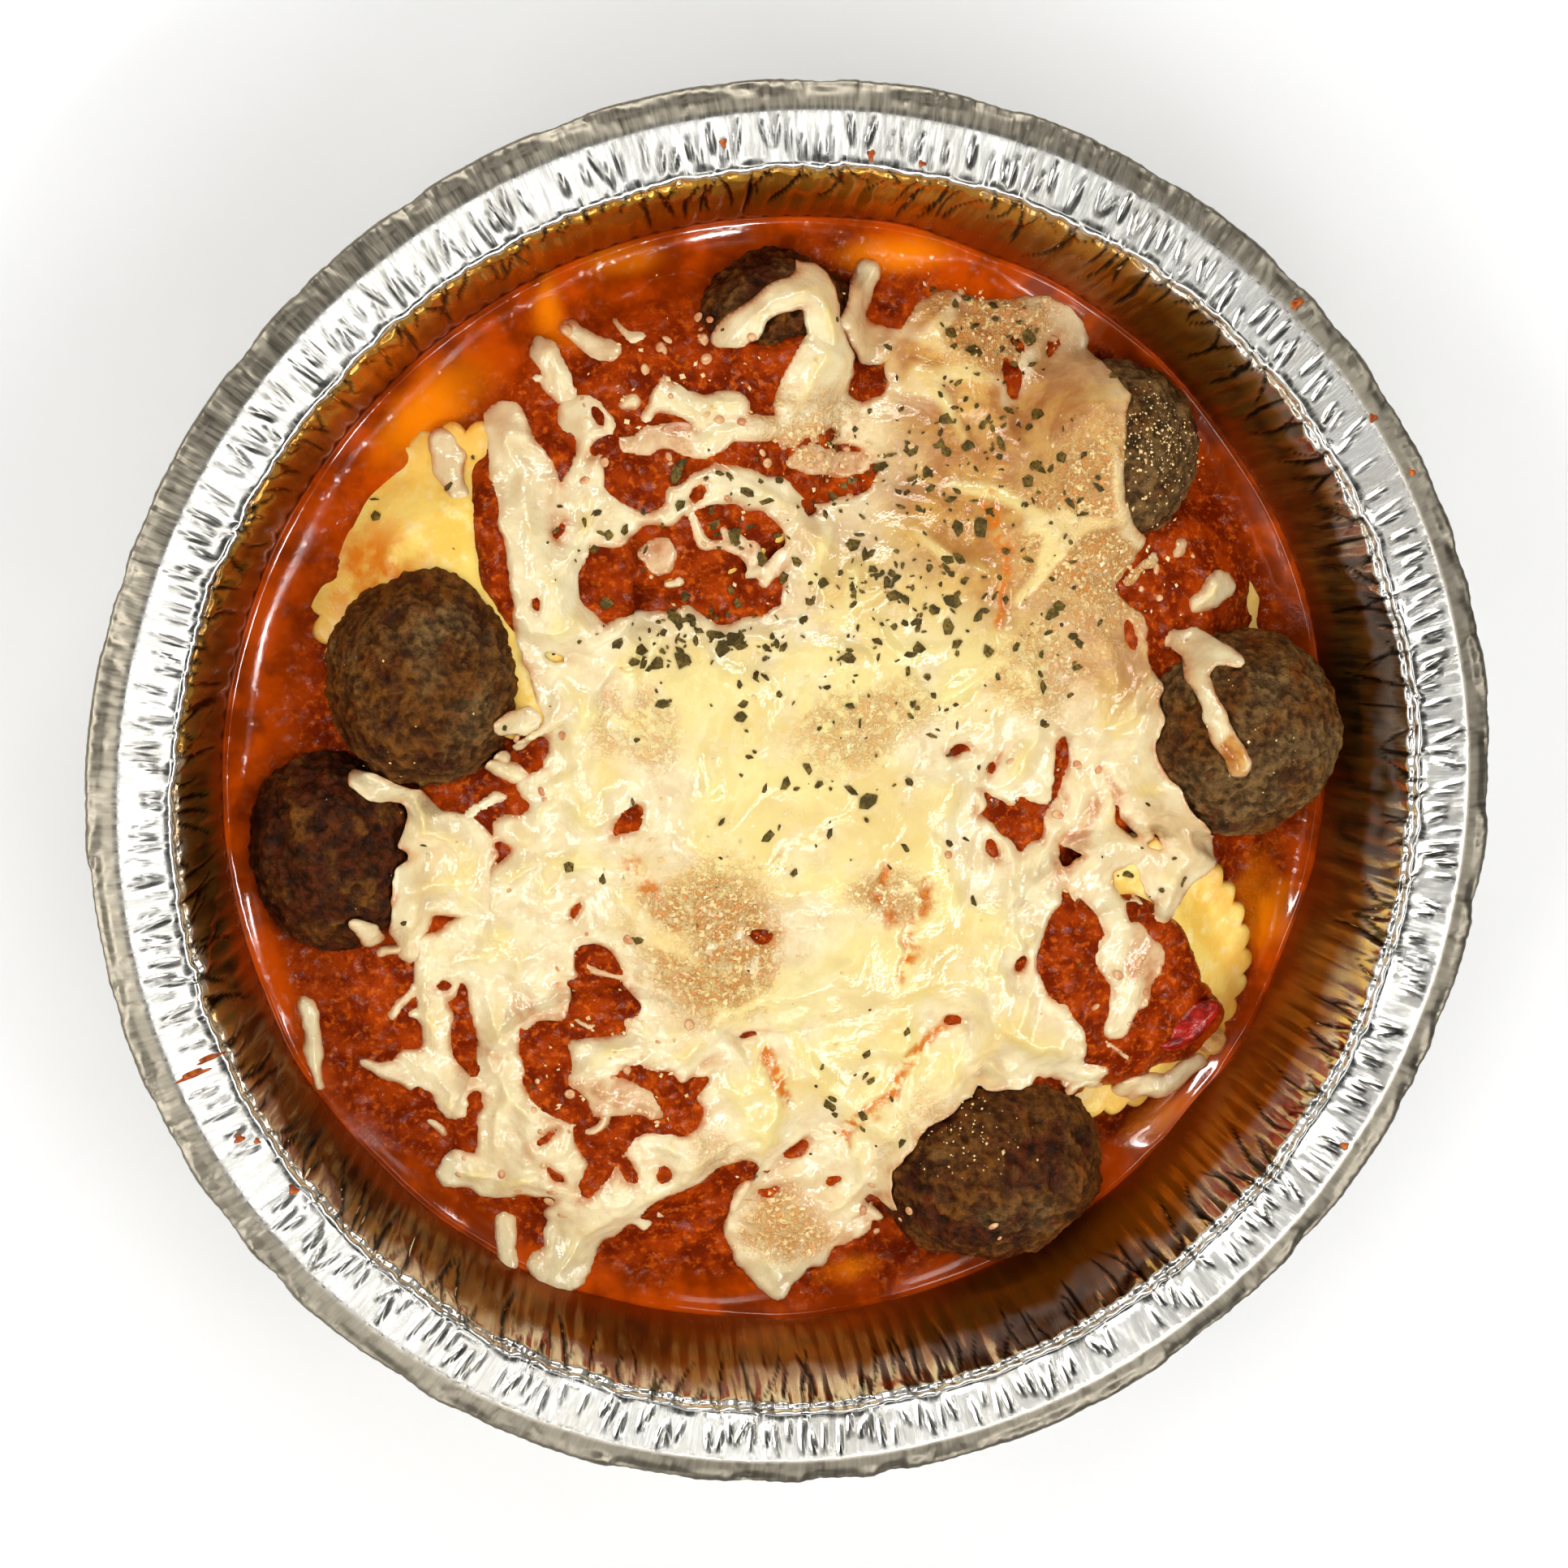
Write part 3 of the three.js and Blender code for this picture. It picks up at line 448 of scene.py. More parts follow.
def frayed(depth):
    """Small stray shreds outside the sheet's edge, and small gaps inside it"""
    draw = np.random.default_rng(23)
    # Clear of the wall, of the meatballs and of the raviolo at the upper left
    free = (grid_r < 84) & (balls_top < bed - 0.01) & ((grid_x > -50) | (grid_y < 25))
    outer = np.argwhere((depth > -7) & (depth < 0.5) & free)
    for i, j in outer[draw.integers(0, len(outer), STRAY_SHREDS)]:
        turn, length = draw.uniform(0, math.pi), draw.uniform(2, 8)
        x, y, half = axis[i], axis[j], draw.uniform(0.6, 1.5)
        end = (x + length * math.cos(turn), y + length * math.sin(turn), half * draw.uniform(0.6, 1))
        depth = smooth_max(depth, span_depth(cheese_x, cheese_y, (x, y, half), end), 0.35)
    inner = np.argwhere((depth > 1.2) & (depth < 6))
    for i, j in inner[draw.integers(0, len(inner), SMALL_GAPS)]:
        half_x, half_y = draw.uniform(0.6, 2.0), draw.uniform(0.5, 1.1)
        hole = spot(axis[i], axis[j], half_x, half_y, draw.uniform(0, 180), cheese_x, cheese_y) * half_y
        depth = -smooth_max(-depth, hole, 0.2)
    return depth


def sheet_depth():
    depth = np.full_like(pool, OUTSIDE)
    for x, y, radius in SHEET_PATCHES:
        depth = smooth_max(depth, radius - np.hypot(cheese_x - x, cheese_y - y), 0.8)
    depth = smooth_max(depth, strands_depth(SHEET_STRANDS) + 0.5, 0.55)
    return push_out(push_out(frayed(depth), SHEET_WINDOWS), BARE_BALLS)


def veil_depth():
    depth = np.full_like(pool, OUTSIDE)
    for x, y, half_x, half_y, turn in VEILS:
        inside = spot(x, y, half_x, half_y, turn, cheese_x + warp_x, cheese_y + warp_y)
        depth = np.maximum(depth, inside * min(half_x, half_y))
    return push_out(depth, BARE_BALLS)


def shred_relief():
    """Half melted shreds that still show as soft ridges in the sheet"""
    draw = np.random.default_rng(21)
    relief = np.zeros_like(pool)
    for _ in range(SOFT_SHREDS):
        x, y = draw.uniform(-62, 66), draw.uniform(-84, 84)
        turn, length = draw.uniform(0, math.pi), draw.uniform(8, 20)
        half, bend = draw.uniform(1.3, 2.4), draw.uniform(-0.5, 0.5)
        middle = (x + math.cos(turn) * length / 2, y + math.sin(turn) * length / 2, half)
        tail = (
            middle[0] + math.cos(turn + bend) * length / 2,
            middle[1] + math.sin(turn + bend) * length / 2,
            half * 0.8,
        )
        for start, end in (((x, y, half * 0.8), middle), (middle, tail)):
            ridge = np.clip(span_depth(grid_x, grid_y, start, end) / half, 0, 1)
            relief = np.maximum(relief, np.sqrt(ridge) * draw.uniform(0.5, 1))
    return blurred(relief, 0.8)


smooth_middle = smooth_step(0, 0.6, spot(12, -8, 34, 42, 20))
relief = shred_relief() * (1 - 0.75 * smooth_middle)


def widened(field, steps):
    """The highest value within some grid steps"""
    for _ in range(steps):
        field = np.maximum(field, np.maximum(np.roll(field, 1, 0), np.roll(field, -1, 0)))
        field = np.maximum(field, np.maximum(np.roll(field, 1, 1), np.roll(field, -1, 1)))
    return field


# What the cheese lies on: strands follow the food closely, and the sheet spans its hollows
even_bed = np.maximum(blurred(widened(bed, 3), 2.4), bed)
near_bed = np.maximum(bed, blurred(bed, 0.9))


def cheese_thickness(depth):
    edge = np.clip(depth / CHEESE_EDGE, 0, 1)
    rounded = np.sqrt(1 - (1 - edge) ** 2)
    swell = 1 + 0.3 * noise2(grid_x, grid_y, 9, 15) + 0.22 * noise2(grid_x, grid_y, 4, 16)
    fine = 0.16 * noise2(grid_x, grid_y, 1.9, 17) * (1 - 0.6 * smooth_middle)
    body = STRAND_THICKNESS + (CHEESE_THICKNESS - STRAND_THICKNESS) * smooth_step(2, 8, depth)
    return rounded * (body * swell + fine) + 1.5 * relief * smooth_step(0.4, 3, depth)


def cheese_bed(depth):
    share = smooth_step(0.8, 5, depth)
    return near_bed + (even_bed - near_bed) * share


# Meshes

def make_piece(name, points, faces, material, paints=None, smooth=True):
    """A mesh object from points in millimetres, with its painted values by vertex"""
    mesh = bpy.data.meshes.new(name)
    mesh.from_pydata((np.asarray(points) * MM).tolist(), [], faces)
    mesh.validate()
    mesh.shade_smooth() if smooth else mesh.shade_flat()
    for key, values in (paints or {}).items():
        layer = mesh.attributes.new(key, "FLOAT", "POINT")
        layer.data.foreach_set("value", np.asarray(values, dtype=np.float32))
    piece = bpy.data.objects.new(name, mesh)
    bpy.context.scene.collection.objects.link(piece)
    mesh.materials.append(material)
    return piece


def outlined_skin(depth, top, bottom):
    """A closed skin between two grid surfaces wherever depth is above zero, its edge cut along depth zero"""
    points, faces, edge_points = [], [], {}
    upper, lower = {}, {}
    inside = depth > 0

    def corner(i, j, side):
        known = upper if side else lower
        if (i, j) not in known:
            known[i, j] = len(points)
            points.append((axis[i], axis[j], (top if side else bottom)[i, j]))
        return known[i, j]

    def crossing(a, b):
        key = (a, b) if a < b else (b, a)
        if key not in edge_points:
            p, q = key
            share = depth[p] / (depth[p] - depth[q])
            height = (top[p] + (top[q] - top[p]) * share + bottom[p] + (bottom[q] - bottom[p]) * share) / 2
            edge_points[key] = len(points)
            points.append((
                axis[p[0]] + (axis[q[0]] - axis[p[0]]) * share,
                axis[p[1]] + (axis[q[1]] - axis[p[1]]) * share,
                height,
            ))
        return edge_points[key]

    cells = inside[:-1, :-1] | inside[1:, :-1] | inside[1:, 1:] | inside[:-1, 1:]
    for i, j in zip(*np.nonzero(cells)):
        i, j = int(i), int(j)
        square = [(i, j), (i + 1, j), (i + 1, j + 1), (i, j + 1)]
        for side in (True, False):
            ring = []
            for a, b in zip(square, square[1:] + square[:1]):
                if inside[a]:
                    ring.append(corner(*a, side))
                if inside[a] != inside[b]:
                    ring.append(crossing(a, b))
            faces.append(ring if side else ring[::-1])
    return np.array(points), faces


def stitched(rings):
    """A closed skin over rings of points, whose counts may differ"""
    faces, starts, start = [], [], 0
    for ring in rings:
        starts.append(start)
        start += len(ring)
    for a, b, first, second in zip(starts, starts[1:], rings, rings[1:]):
        na, nb = len(first), len(second)
        steps = max(na, nb)
        ia = a + (np.arange(steps + 1) * na // steps) % na
        ib = b + (np.arange(steps + 1) * nb // steps) % nb
        for k in range(steps):
            ring = [ia[k], ib[k], ib[k + 1], ia[k + 1]]
            face = [int(v) for n, v in enumerate(ring) if v != ring[n - 1]]
            if len(face) > 2:
                faces.append(face)
    faces.append(list(range(len(rings[0]))))
    faces.append(list(range(start - len(rings[-1]), start))[::-1])
    return np.concatenate(rings), faces


# Shaders

class Shader:
    """A node material under construction"""

    def __init__(self, name):
        self.material = bpy.data.materials.new(name)
        self.material.use_nodes = True
        self.tree = self.material.node_tree
        self.surface = self.tree.nodes["Principled BSDF"]
        self.place = self.node("ShaderNodeTexCoord", "Object", {})

    def feed(self, socket, value):
        if isinstance(value, bpy.types.NodeSocket):
            self.tree.links.new(value, socket)
        else:
            socket.default_value = value

    def node(self, kind, output, inputs, **settings):
        """The named output of a new node, its inputs fed by name or index"""
        made = self.tree.nodes.new(kind)
        for key, value in settings.items():
            setattr(made, key, value)
        for key, value in inputs.items():
            self.feed(made.inputs[key], value)
        return made.outputs[output]

    def set(self, **values):
        for key, value in values.items():
            self.feed(self.surface.inputs[key.replace("_", " ")], value)

    def noise(self, cell, detail=4, rough=0.55, distort=0.0, place=None):
        """Noise with lumps about one cell wide, in millimetres"""
        inputs = {
            "Vector": place or self.place, "Scale": 1 / (cell * MM), "Detail": detail,
            "Roughness": rough, "Distortion": distort,
        }
        return self.node("ShaderNodeTexNoise", "Fac", inputs)

    def ramp(self, value, low, high, to_low=0.0, to_high=1.0):
        inputs = {"Value": value, "From Min": low, "From Max": high, "To Min": to_low, "To Max": to_high}
        return self.node("ShaderNodeMapRange", "Result", inputs, interpolation_type="SMOOTHSTEP")

    def math(self, kind, a, b):
        return self.node("ShaderNodeMath", 0, {0: a, 1: b}, operation=kind)

    def times(self, a, b):
        return self.math("MULTIPLY", a, b)

    def mix(self, share, a, b):
        return self.node("ShaderNodeMix", 2, {0: share, 6: a, 7: b}, data_type="RGBA")

    def mottled(self, cell, detail, low, high, first, second, rough=0.55):
        """Two tones mixed in patches about one cell wide"""
        return self.mix(self.ramp(self.noise(cell, detail, rough), low, high), first, second)

    def vector(self, kind, inputs, output="Vector"):
        return self.node("ShaderNodeVectorMath", output, inputs, operation=kind)

    def radial(self):
        """A place that noise can use for streaks that run out from the pan's axis"""
        flat = self.vector("MULTIPLY", {0: self.place, 1: (1, 1, 0)})
        around = self.vector("NORMALIZE", {0: flat})
        height = self.node("ShaderNodeSeparateXYZ", "Z", {0: self.place})
        reach = self.math("ADD", height, self.vector("LENGTH", {0: flat}, "Value"))
        outward = self.node("ShaderNodeCombineXYZ", "Vector", {"Z": self.times(reach, 0.14)})
        return self.vector("ADD", {0: self.vector("SCALE", {0: around, "Scale": 0.1}), 1: outward})

    def paint(self, key):
        return self.node("ShaderNodeAttribute", "Fac", {}, attribute_name=key)

    def bump(self, height, distance, normal=None):
        """Bump of a height that runs from 0 to 1, its distance in millimetres"""
        inputs = {"Strength": 1.0, "Distance": distance * MM, "Height": height}
        if normal is not None:
            inputs["Normal"] = normal
        return self.node("ShaderNodeBump", "Normal", inputs)


def tone(red, green, blue):
    """A colour given as it looks on screen, from 0 to 255"""
    def linear(value):
        value /= 255
        return value / 12.92 if value <= 0.04045 else ((value + 0.055) / 1.055) ** 2.4
    return (linear(red), linear(green), linear(blue), 1.0)


def foil_material():
    s = Shader("foil")
    film = s.paint("film")
    radial = s.radial()
    streaks = s.noise(0.8, 3, 0.6, 0.0, radial)
    # Painted shade: the foil's creases are painted darker, grey on bare foil and near black under the oil
    # film, where the wall's creases also hold oil
    painted_shade_and_grime = s.paint("painted_shade_and_grime")
    metal = s.mottled(9, 3, 0.35, 0.7, tone(242, 240, 234), tone(232, 228, 219))
    # Painted reflection: the flange's foil is given a darker brown-grey than the ledge, for the dimmer room
    # that the drooping flange mirrors
    metal = s.mix(s.paint("flange"), metal, s.mix(streaks, tone(112, 104, 88), tone(186, 179, 164)))
    # Painted shade in the creases of the bare foil
    metal = s.mix(s.times(painted_shade_and_grime, 0.9), metal, tone(72, 68, 60))
    brown = s.mix(s.ramp(s.noise(2.2, 3, 0.5, 0.0, radial), 0.35, 0.65), tone(126, 90, 42), tone(70, 48, 25))
    brown = s.mix(s.times(s.paint("lip"), 0.7), brown, tone(176, 136, 72))
    amber = s.mix(s.paint("amber"), brown, s.mix(s.paint("lip"), tone(168, 96, 10), tone(204, 152, 62)))
    amber = s.mix(s.times(s.paint("near"), 0.8), amber, tone(152, 72, 12))
    polish = s.ramp(streaks, 0.3, 0.7, 0.15, 0.28)
    s.set(
        # Painted shade in the creases under the oil film, partly oil caught in them
        Base_Color=s.mix(film, metal, s.mix(s.times(painted_shade_and_grime, 0.95), amber, tone(24, 13, 6))),
        Metallic=s.ramp(film, 0.0, 1.0, 1.0, 0.55),
        Roughness=s.math("ADD", polish, s.times(s.paint("flange"), 0.17)),
        Normal=s.bump(streaks, 0.05, s.bump(s.noise(3.5, 3, 0.5, 0.0, radial), 0.16)),
    )
    return s.material


def sauce_material():
    s = Shader("sauce")
    edge, oil, wet = s.paint("edge"), s.paint("oil"), s.paint("wet")
    deep = s.mottled(5, 4, 0.38, 0.64, tone(122, 38, 2), tone(172, 68, 8), 0.6)
    bits = s.ramp(s.noise(1.3, 4, 0.6), 0.5, 0.68)
    pulpy = s.mix(s.times(bits, 0.7), deep, tone(218, 108, 30))
    orange = s.mottled(9, 4, 0.36, 0.64, tone(142, 56, 0), tone(206, 88, 6))
    colour = s.mix(edge, pulpy, orange)
    colour = s.mix(oil, colour, tone(255, 146, 14))
    grain = s.times(s.ramp(s.noise(0.8, 4, 0.65), 0.3, 0.75), s.ramp(edge, 0.0, 0.9, 1.0, 0.05))
    glints = s.ramp(s.noise(1.7, 3), 0.55, 0.66, 0.06, 0.8)
    s.set(
        Base_Color=colour,
        Roughness=s.ramp(wet, 0.1, 0.6, 0.11, 0.05),
        Specular_IOR_Level=s.math("MAXIMUM", s.ramp(wet, 0.1, 0.6, 0.0, 0.9), glints),
        Coat_Weight=s.ramp(wet, 0.25, 0.6),
        Coat_Roughness=0.03,
        Coat_IOR=1.6,
        Subsurface_Weight=0.05,
        Subsurface_Scale=0.001,
        Subsurface_Radius=(1.0, 0.3, 0.08),
        Normal=s.bump(grain, 0.15),
    )
    return s.material


def cheese_material():
    s = Shader("cheese")
    thin, peach, crack, rim = s.paint("thin"), s.paint("peach"), s.paint("crack"), s.paint("rim")
    cream = s.mottled(15, 3, 0.35, 0.66, tone(242, 225, 156), tone(235, 208, 140))
    milky = s.mottled(5, 4, 0.36, 0.64, tone(244, 229, 188), tone(232, 210, 166))
    clear = s.mottled(3, 3, 0.36, 0.64, tone(224, 184, 138), tone(198, 134, 88))
    grit = s.ramp(s.noise(0.9, 3, 0.7), 0.4, 0.6)
    sandy = s.mix(grit, tone(226, 152, 76), tone(254, 222, 158))
    patchy = s.times(peach, s.ramp(s.noise(2.6, 5, 0.65), 0.38, 0.52))
    veins = s.ramp(s.noise(7, 4, 0.6, 0.4), 0.5, 0.7)
    softened = s.math("MINIMUM", s.math("ADD", thin, s.times(veins, 0.55)), 1.0)
    colour = s.mix(softened, cream, milky)
    tanned = s.mottled(6, 5, 0.36, 0.62, tone(214, 164, 84), tone(176, 106, 34), 0.6)
    colour = s.mix(s.paint("tan"), colour, tanned)
    colour = s.mix(rim, colour, clear)
    colour = s.mix(patchy, colour, sandy)
    colour = s.mix(s.times(crack, s.ramp(s.noise(2.2, 4), 0.38, 0.6)), colour, tone(216, 128, 36))
    rough_patch = s.times(patchy, grit)
    s.set(
        Base_Color=colour,
        Roughness=s.ramp(s.noise(3.2, 4), 0.35, 0.7, 0.1, 0.26),
        Specular_IOR_Level=0.7,
        Subsurface_Weight=0.15,
        Subsurface_Scale=0.0014,
        Subsurface_Radius=(1.0, 0.6, 0.25),
        Normal=s.bump(rough_patch, 0.4, s.bump(s.noise(2.4, 3), 0.3)),
    )
    return s.material


def pasta_material():
    s = Shader("pasta")
    stain = s.paint("stain")
    dough = s.mottled(6, 4, 0.35, 0.68, tone(255, 224, 128), tone(248, 204, 98))
    dough = s.mix(s.ramp(s.noise(3.5, 5, 0.65), 0.5, 0.7, 0.0, 0.7), dough, tone(255, 238, 176))
    colour = s.mix(s.times(stain, s.ramp(s.noise(5, 4), 0.3, 0.62)), dough, tone(232, 140, 34))
    s.set(
        Base_Color=colour,
        Roughness=s.ramp(s.noise(3, 3), 0.35, 0.7, 0.24, 0.42),
        Specular_IOR_Level=0.4,
        Subsurface_Weight=0.2,
        Subsurface_Scale=0.0014,
        Subsurface_Radius=(1.0, 0.6, 0.25),
        Normal=s.bump(s.noise(1.1, 4), 0.12, s.bump(s.noise(6, 2), 0.4)),
    )
    return s.material


def meat_material(name, burnt, grey):
    s = Shader(name)
    grain = s.times(s.noise(1.3, 5, 0.65), 0.72)
    # Painted shade: the crust's hollows are painted darker and its raised lumps lighter, on top of the
    # grain's own tones
    crumb = s.math("ADD", grain, s.times(s.paint("high"), 0.28))
    brown = s.mix(s.ramp(crumb, 0.34, 0.66), tone(74, 42, 12), tone(132, 84, 30))
    ashen = s.mix(s.ramp(crumb, 0.34, 0.66), tone(80, 58, 32), tone(144, 112, 68))
    base = s.mix(s.ramp(s.noise(11, 3), 0.62 - 0.5 * grey, 0.86 - 0.5 * grey), brown, ashen)
    base = s.mix(s.ramp(s.noise(4, 3, 0.6, 0.5), 0.58, 0.72, 0.0, 0.6), base, tone(134, 70, 16))
    char = s.ramp(s.noise(8, 4, 0.6, 0.4), 0.62 - 0.3 * burnt, 0.76 - 0.3 * burnt)
    scorched = s.mottled(2.2, 4, 0.36, 0.64, tone(38, 16, 6), tone(96, 42, 14))
    colour = s.mix(s.times(char, 0.85), base, scorched)
    s.set(
        Base_Color=colour,
        Roughness=s.ramp(s.noise(2.4, 3), 0.35, 0.7, 0.3, 0.6),
        Specular_IOR_Level=0.2,
        Normal=s.bump(crumb, 1.1, s.bump(s.noise(0.6, 3), 0.3)),
    )
    return s.material


def chunk_material(name, dark, light):
    s = Shader(name)
    s.set(
        Base_Color=s.mottled(2.5, 4, 0.35, 0.65, dark, light),
        Roughness=0.2,
        Subsurface_Weight=0.2,
        Subsurface_Scale=0.0015,
        Normal=s.bump(s.noise(1.4, 4), 0.25),
    )
    return s.material


def herb_material():
    s = Shader("herbs")
    leaf = s.mottled(2.6, 2, 0.35, 0.65, tone(84, 72, 26), tone(134, 112, 50))
    s.set(
        Base_Color=s.mottled(0.5, 3, 0.4, 0.7, leaf, tone(72, 50, 22)),
        Roughness=0.6,
        Specular_IOR_Level=0.3,
        Normal=s.bump(s.noise(0.4, 3), 0.08),
    )
    return s.material


def grain_material():
    s = Shader("parmesan")
    s.set(
        Base_Color=s.mottled(1.2, 2, 0.35, 0.65, tone(248, 226, 178), tone(236, 200, 138)),
        Roughness=0.5,
        Specular_IOR_Level=0.4,
        Normal=s.bump(s.noise(0.3, 2), 0.04),
    )
    return s.material


def floor_material():
    s = Shader("studio_floor")
    s.set(
        Base_Color=s.mottled(60, 2, 0.3, 0.7, (0.93, 0.93, 0.925, 1), (0.95, 0.95, 0.945, 1)),
        Roughness=0.9,
    )
    return s.material


# The foil pan

FINE_SEGMENTS = 1500
WALL_PLEATS = 180
PLEAT_DEPTH = 0.45
CRIMPS = 330
CRIMP_SHARE = 0.85
FLANGE_CREASES = 430
BEADS = 320
BEAD_DEPTH = 0.12
BULGE_ON_LEDGE = 0.45
BULGE_ON_WALL = 0.8
CRUMPLE_ON_WALL = 1.5
# The skin stays this far inside the part's radius and height
RADIUS_SPARE = 0.03
HEIGHT_SPARE = 0.02

# The skin is plain below this height, and rings keep one point in so many
FINE_FROM = 20
INNER_BASE_STRIDE = 5
OUTER_STRIDE = 2
OUTER_BASE_STRIDE = 8

# The height of the ledge's upper face, and the radius of the bend between wall and ledge
LEDGE_HEIGHT = PAN_HEIGHT - 0.45
MOUTH_BEND = 1.3


def base_rows():
    """The base and its rounded corner from the middle out: radius and height"""
    corner = BASE_RADIUS - BASE_CORNER
    path = [(1, FOIL), (40, FOIL), (70, FOIL)]
    for angle in np.radians(np.linspace(-90, -14, 6)):
        path.append((corner + BASE_CORNER * math.cos(angle), FOIL + BASE_CORNER * (1 + math.sin(angle))))
    return path


def pan_rows():
    """Rows of the upper face from the middle of the base to the rolled edge: radius and height"""
    inner = base_rows()
    wall_heights = np.concatenate([np.linspace(12, 24, 4), np.linspace(27, PAN_HEIGHT - 1.4, 17)])
    inner += [(wall_radius(h), h) for h in wall_heights]
    for angle in np.radians((168, 146, 122, 100)):
        radius = MOUTH_RADIUS + MOUTH_BEND + MOUTH_BEND * math.cos(angle)
        inner.append((radius, LEDGE_HEIGHT - MOUTH_BEND * (1 - math.sin(angle))))
    inner += [(r, LEDGE_HEIGHT) for r in np.linspace(MOUTH_RADIUS + 1.4, CREASE_RADIUS - 0.4, 14)]
    roll_r, roll_z = RIM_RADIUS - ROLL_RADIUS - 0.05, PAN_HEIGHT - RIM_DROP
    for share in np.linspace(0.04, 0.94, 8):
        drop = (LEDGE_HEIGHT - roll_z - ROLL_RADIUS) * share
        inner.append((CREASE_RADIUS + (roll_r - CREASE_RADIUS) * share, LEDGE_HEIGHT - drop))
    for angle in np.radians((75, 40, 5, -30, -65, -100, -135)):
        inner.append((roll_r + ROLL_RADIUS * math.cos(angle), roll_z + ROLL_RADIUS * math.sin(angle)))
    return inner


def pan_creases(ledge, flange, rim):
    """Angle, start and end along the skin, half width, depth, slant and bend of every fold in the foil"""
    draw = np.random.default_rng(31)
    creases = []
    pitch = 2 * math.pi / CRIMPS
    for k in range(CRIMPS):
        centre = (k + draw.uniform(-0.3, 0.3)) * pitch
        if draw.random() < CRIMP_SHARE:
            start = ledge + draw.uniform(-0.6, 2.6)
            end = min(start + draw.uniform(3.6, 7.4), flange + draw.uniform(-0.9, 0.2))
            half = draw.uniform(0.3, 0.62)
            cut = draw.uniform(0.28, 0.5) * (0.8 + 0.2 * math.cos(centre + math.pi / 4))
            creases.append((centre, start, end, half, cut, draw.normal(0, 0.009), 0))
        if draw.random() < CRIMP_SHARE:
            start, end = ledge - draw.uniform(4, 19), ledge + draw.uniform(-0.8, 1.6)
            half, cut = draw.uniform(0.28, 0.56), draw.uniform(0.32, 0.6)
            creases.append((centre, start, end, half, cut, draw.normal(0, 0.03), draw.normal(0, 0.012)))
    for _ in range(FLANGE_CREASES):
        centre = draw.uniform(0, 2 * math.pi)
        start, end = flange + draw.uniform(-0.5, 1.5), rim + draw.uniform(-1, 1)
        half, cut = draw.uniform(0.25, 0.5), draw.uniform(0.06, 0.2)
        creases.append((centre, start, end, half, cut, draw.normal(0, 0.012), 0))
    return creases


def crimp_field(angles, along, creases):
    """How deep the creases cut at every angle and distance along the skin"""
    depth = np.zeros((len(along), len(angles)))
    for centre, start, end, half, cut, slant, bend in creases:
        reach = 5 * half / MOUTH_RADIUS + abs(slant) * 0.6 + abs(bend)
        near = np.abs((angles - centre + math.pi) % (2 * math.pi) - math.pi) < reach
        rows = (along > start) & (along < end)
        if not rows.any() or not near.any():
            continue
        share = (along[rows] - start) / (end - start)
        taper = np.sin(math.pi * share) ** 0.7
        turn = (angles[near] - centre + math.pi) % (2 * math.pi) - math.pi
        path = slant * (share - 0.5) + bend * np.sin(math.pi * share)
        across = np.abs(turn[None, :] - path[:, None]) * MOUTH_RADIUS
        groove = cut * taper[:, None] * np.clip(1.15 - across / (half * (0.4 + 0.6 * taper[:, None])), 0, 1)
        block = depth[np.ix_(rows, near)]
        depth[np.ix_(rows, near)] = np.maximum(block, groove)
    return depth


def pan_paints(points, darker):
    """What the foil's shader reads: sauce film, its colours, painted shade and oil in the creases, a painted
    dark reflection on the lower right flange, and the flange
    """
    inner_count = sum(len(shade) for shade in darker)
    radius = np.hypot(points[:, 0], points[:, 1])
    height = points[:, 2]
    turn = np.degrees(np.arctan2(points[:, 1], points[:, 0])) % 360
    sauce_level = EDGE_LEVEL + EDGE_LEAN * np.cos(np.radians(turn) - EDGE_LEAN_ANGLE)
    over_sauce = height - sauce_level - EDGE_RISE
    # Oil climbs the wall highest at the top and upper left
    climb = 7 + 6 * lobe(turn, 112, 62)
    ragged = 2.6 * noise2(turn * 0.6, height, 3.1, 35) + 1.4 * noise2(turn * 2, height, 3, 36)
    level = sauce_level + 7 + 1.4 * climb + ragged
    film = smooth_step(6.5, -3, height - level) * (radius < MOUTH_RADIUS + 0.6) * (height < PAN_HEIGHT - 0.9)
    film[inner_count:] = 0
    amber = lobe(turn, 105, 60) + 0.5 * lobe(turn, 275, 40) + 0.75 * lobe(turn, 318, 28)
    amber = np.clip(amber + 0.25 * noise2(turn * 0.5, height, 3, 37), 0, 1)
    # Painted shade: creases on the inner face are painted darker, those on the wall partly as oil caught in
    # them
    painted_shade_and_grime = np.zeros(len(points))
    painted_shade_and_grime[:inner_count] = np.concatenate(darker)
    # Painted reflection: on the ledge and flange the painted shade in the creases grows towards the lower
    # right, and the flange there is painted darker, for the dark side of the room that this foil mirrors
    dark_side = (points[:, 0] - points[:, 1]) / math.sqrt(2) / RIM_RADIUS
    painted_shade_and_grime *= np.where(radius > MOUTH_RADIUS + 0.6, 0.66 + 0.4 * dark_side, 1)
    painted_flange_reflection = smooth_step(-0.1, 0.8, dark_side + 0.25 * points[:, 0] / RIM_RADIUS)
    painted_shade_and_grime += 0.42 * painted_flange_reflection * (radius > CREASE_RADIUS)
    return {
        "film": film,
        "amber": amber,
        "painted_shade_and_grime": painted_shade_and_grime,
        "flange": smooth_step(CREASE_RADIUS - 0.6, CREASE_RADIUS + 0.4, radius),
        "lip": smooth_step(33, 44, height + 3 * noise2(turn * 0.4, height, 4, 38)),
        "near": smooth_step(6.5, 0.5, over_sauce + 2.2 * noise2(turn * 0.7, height, 4, 39)),
    }


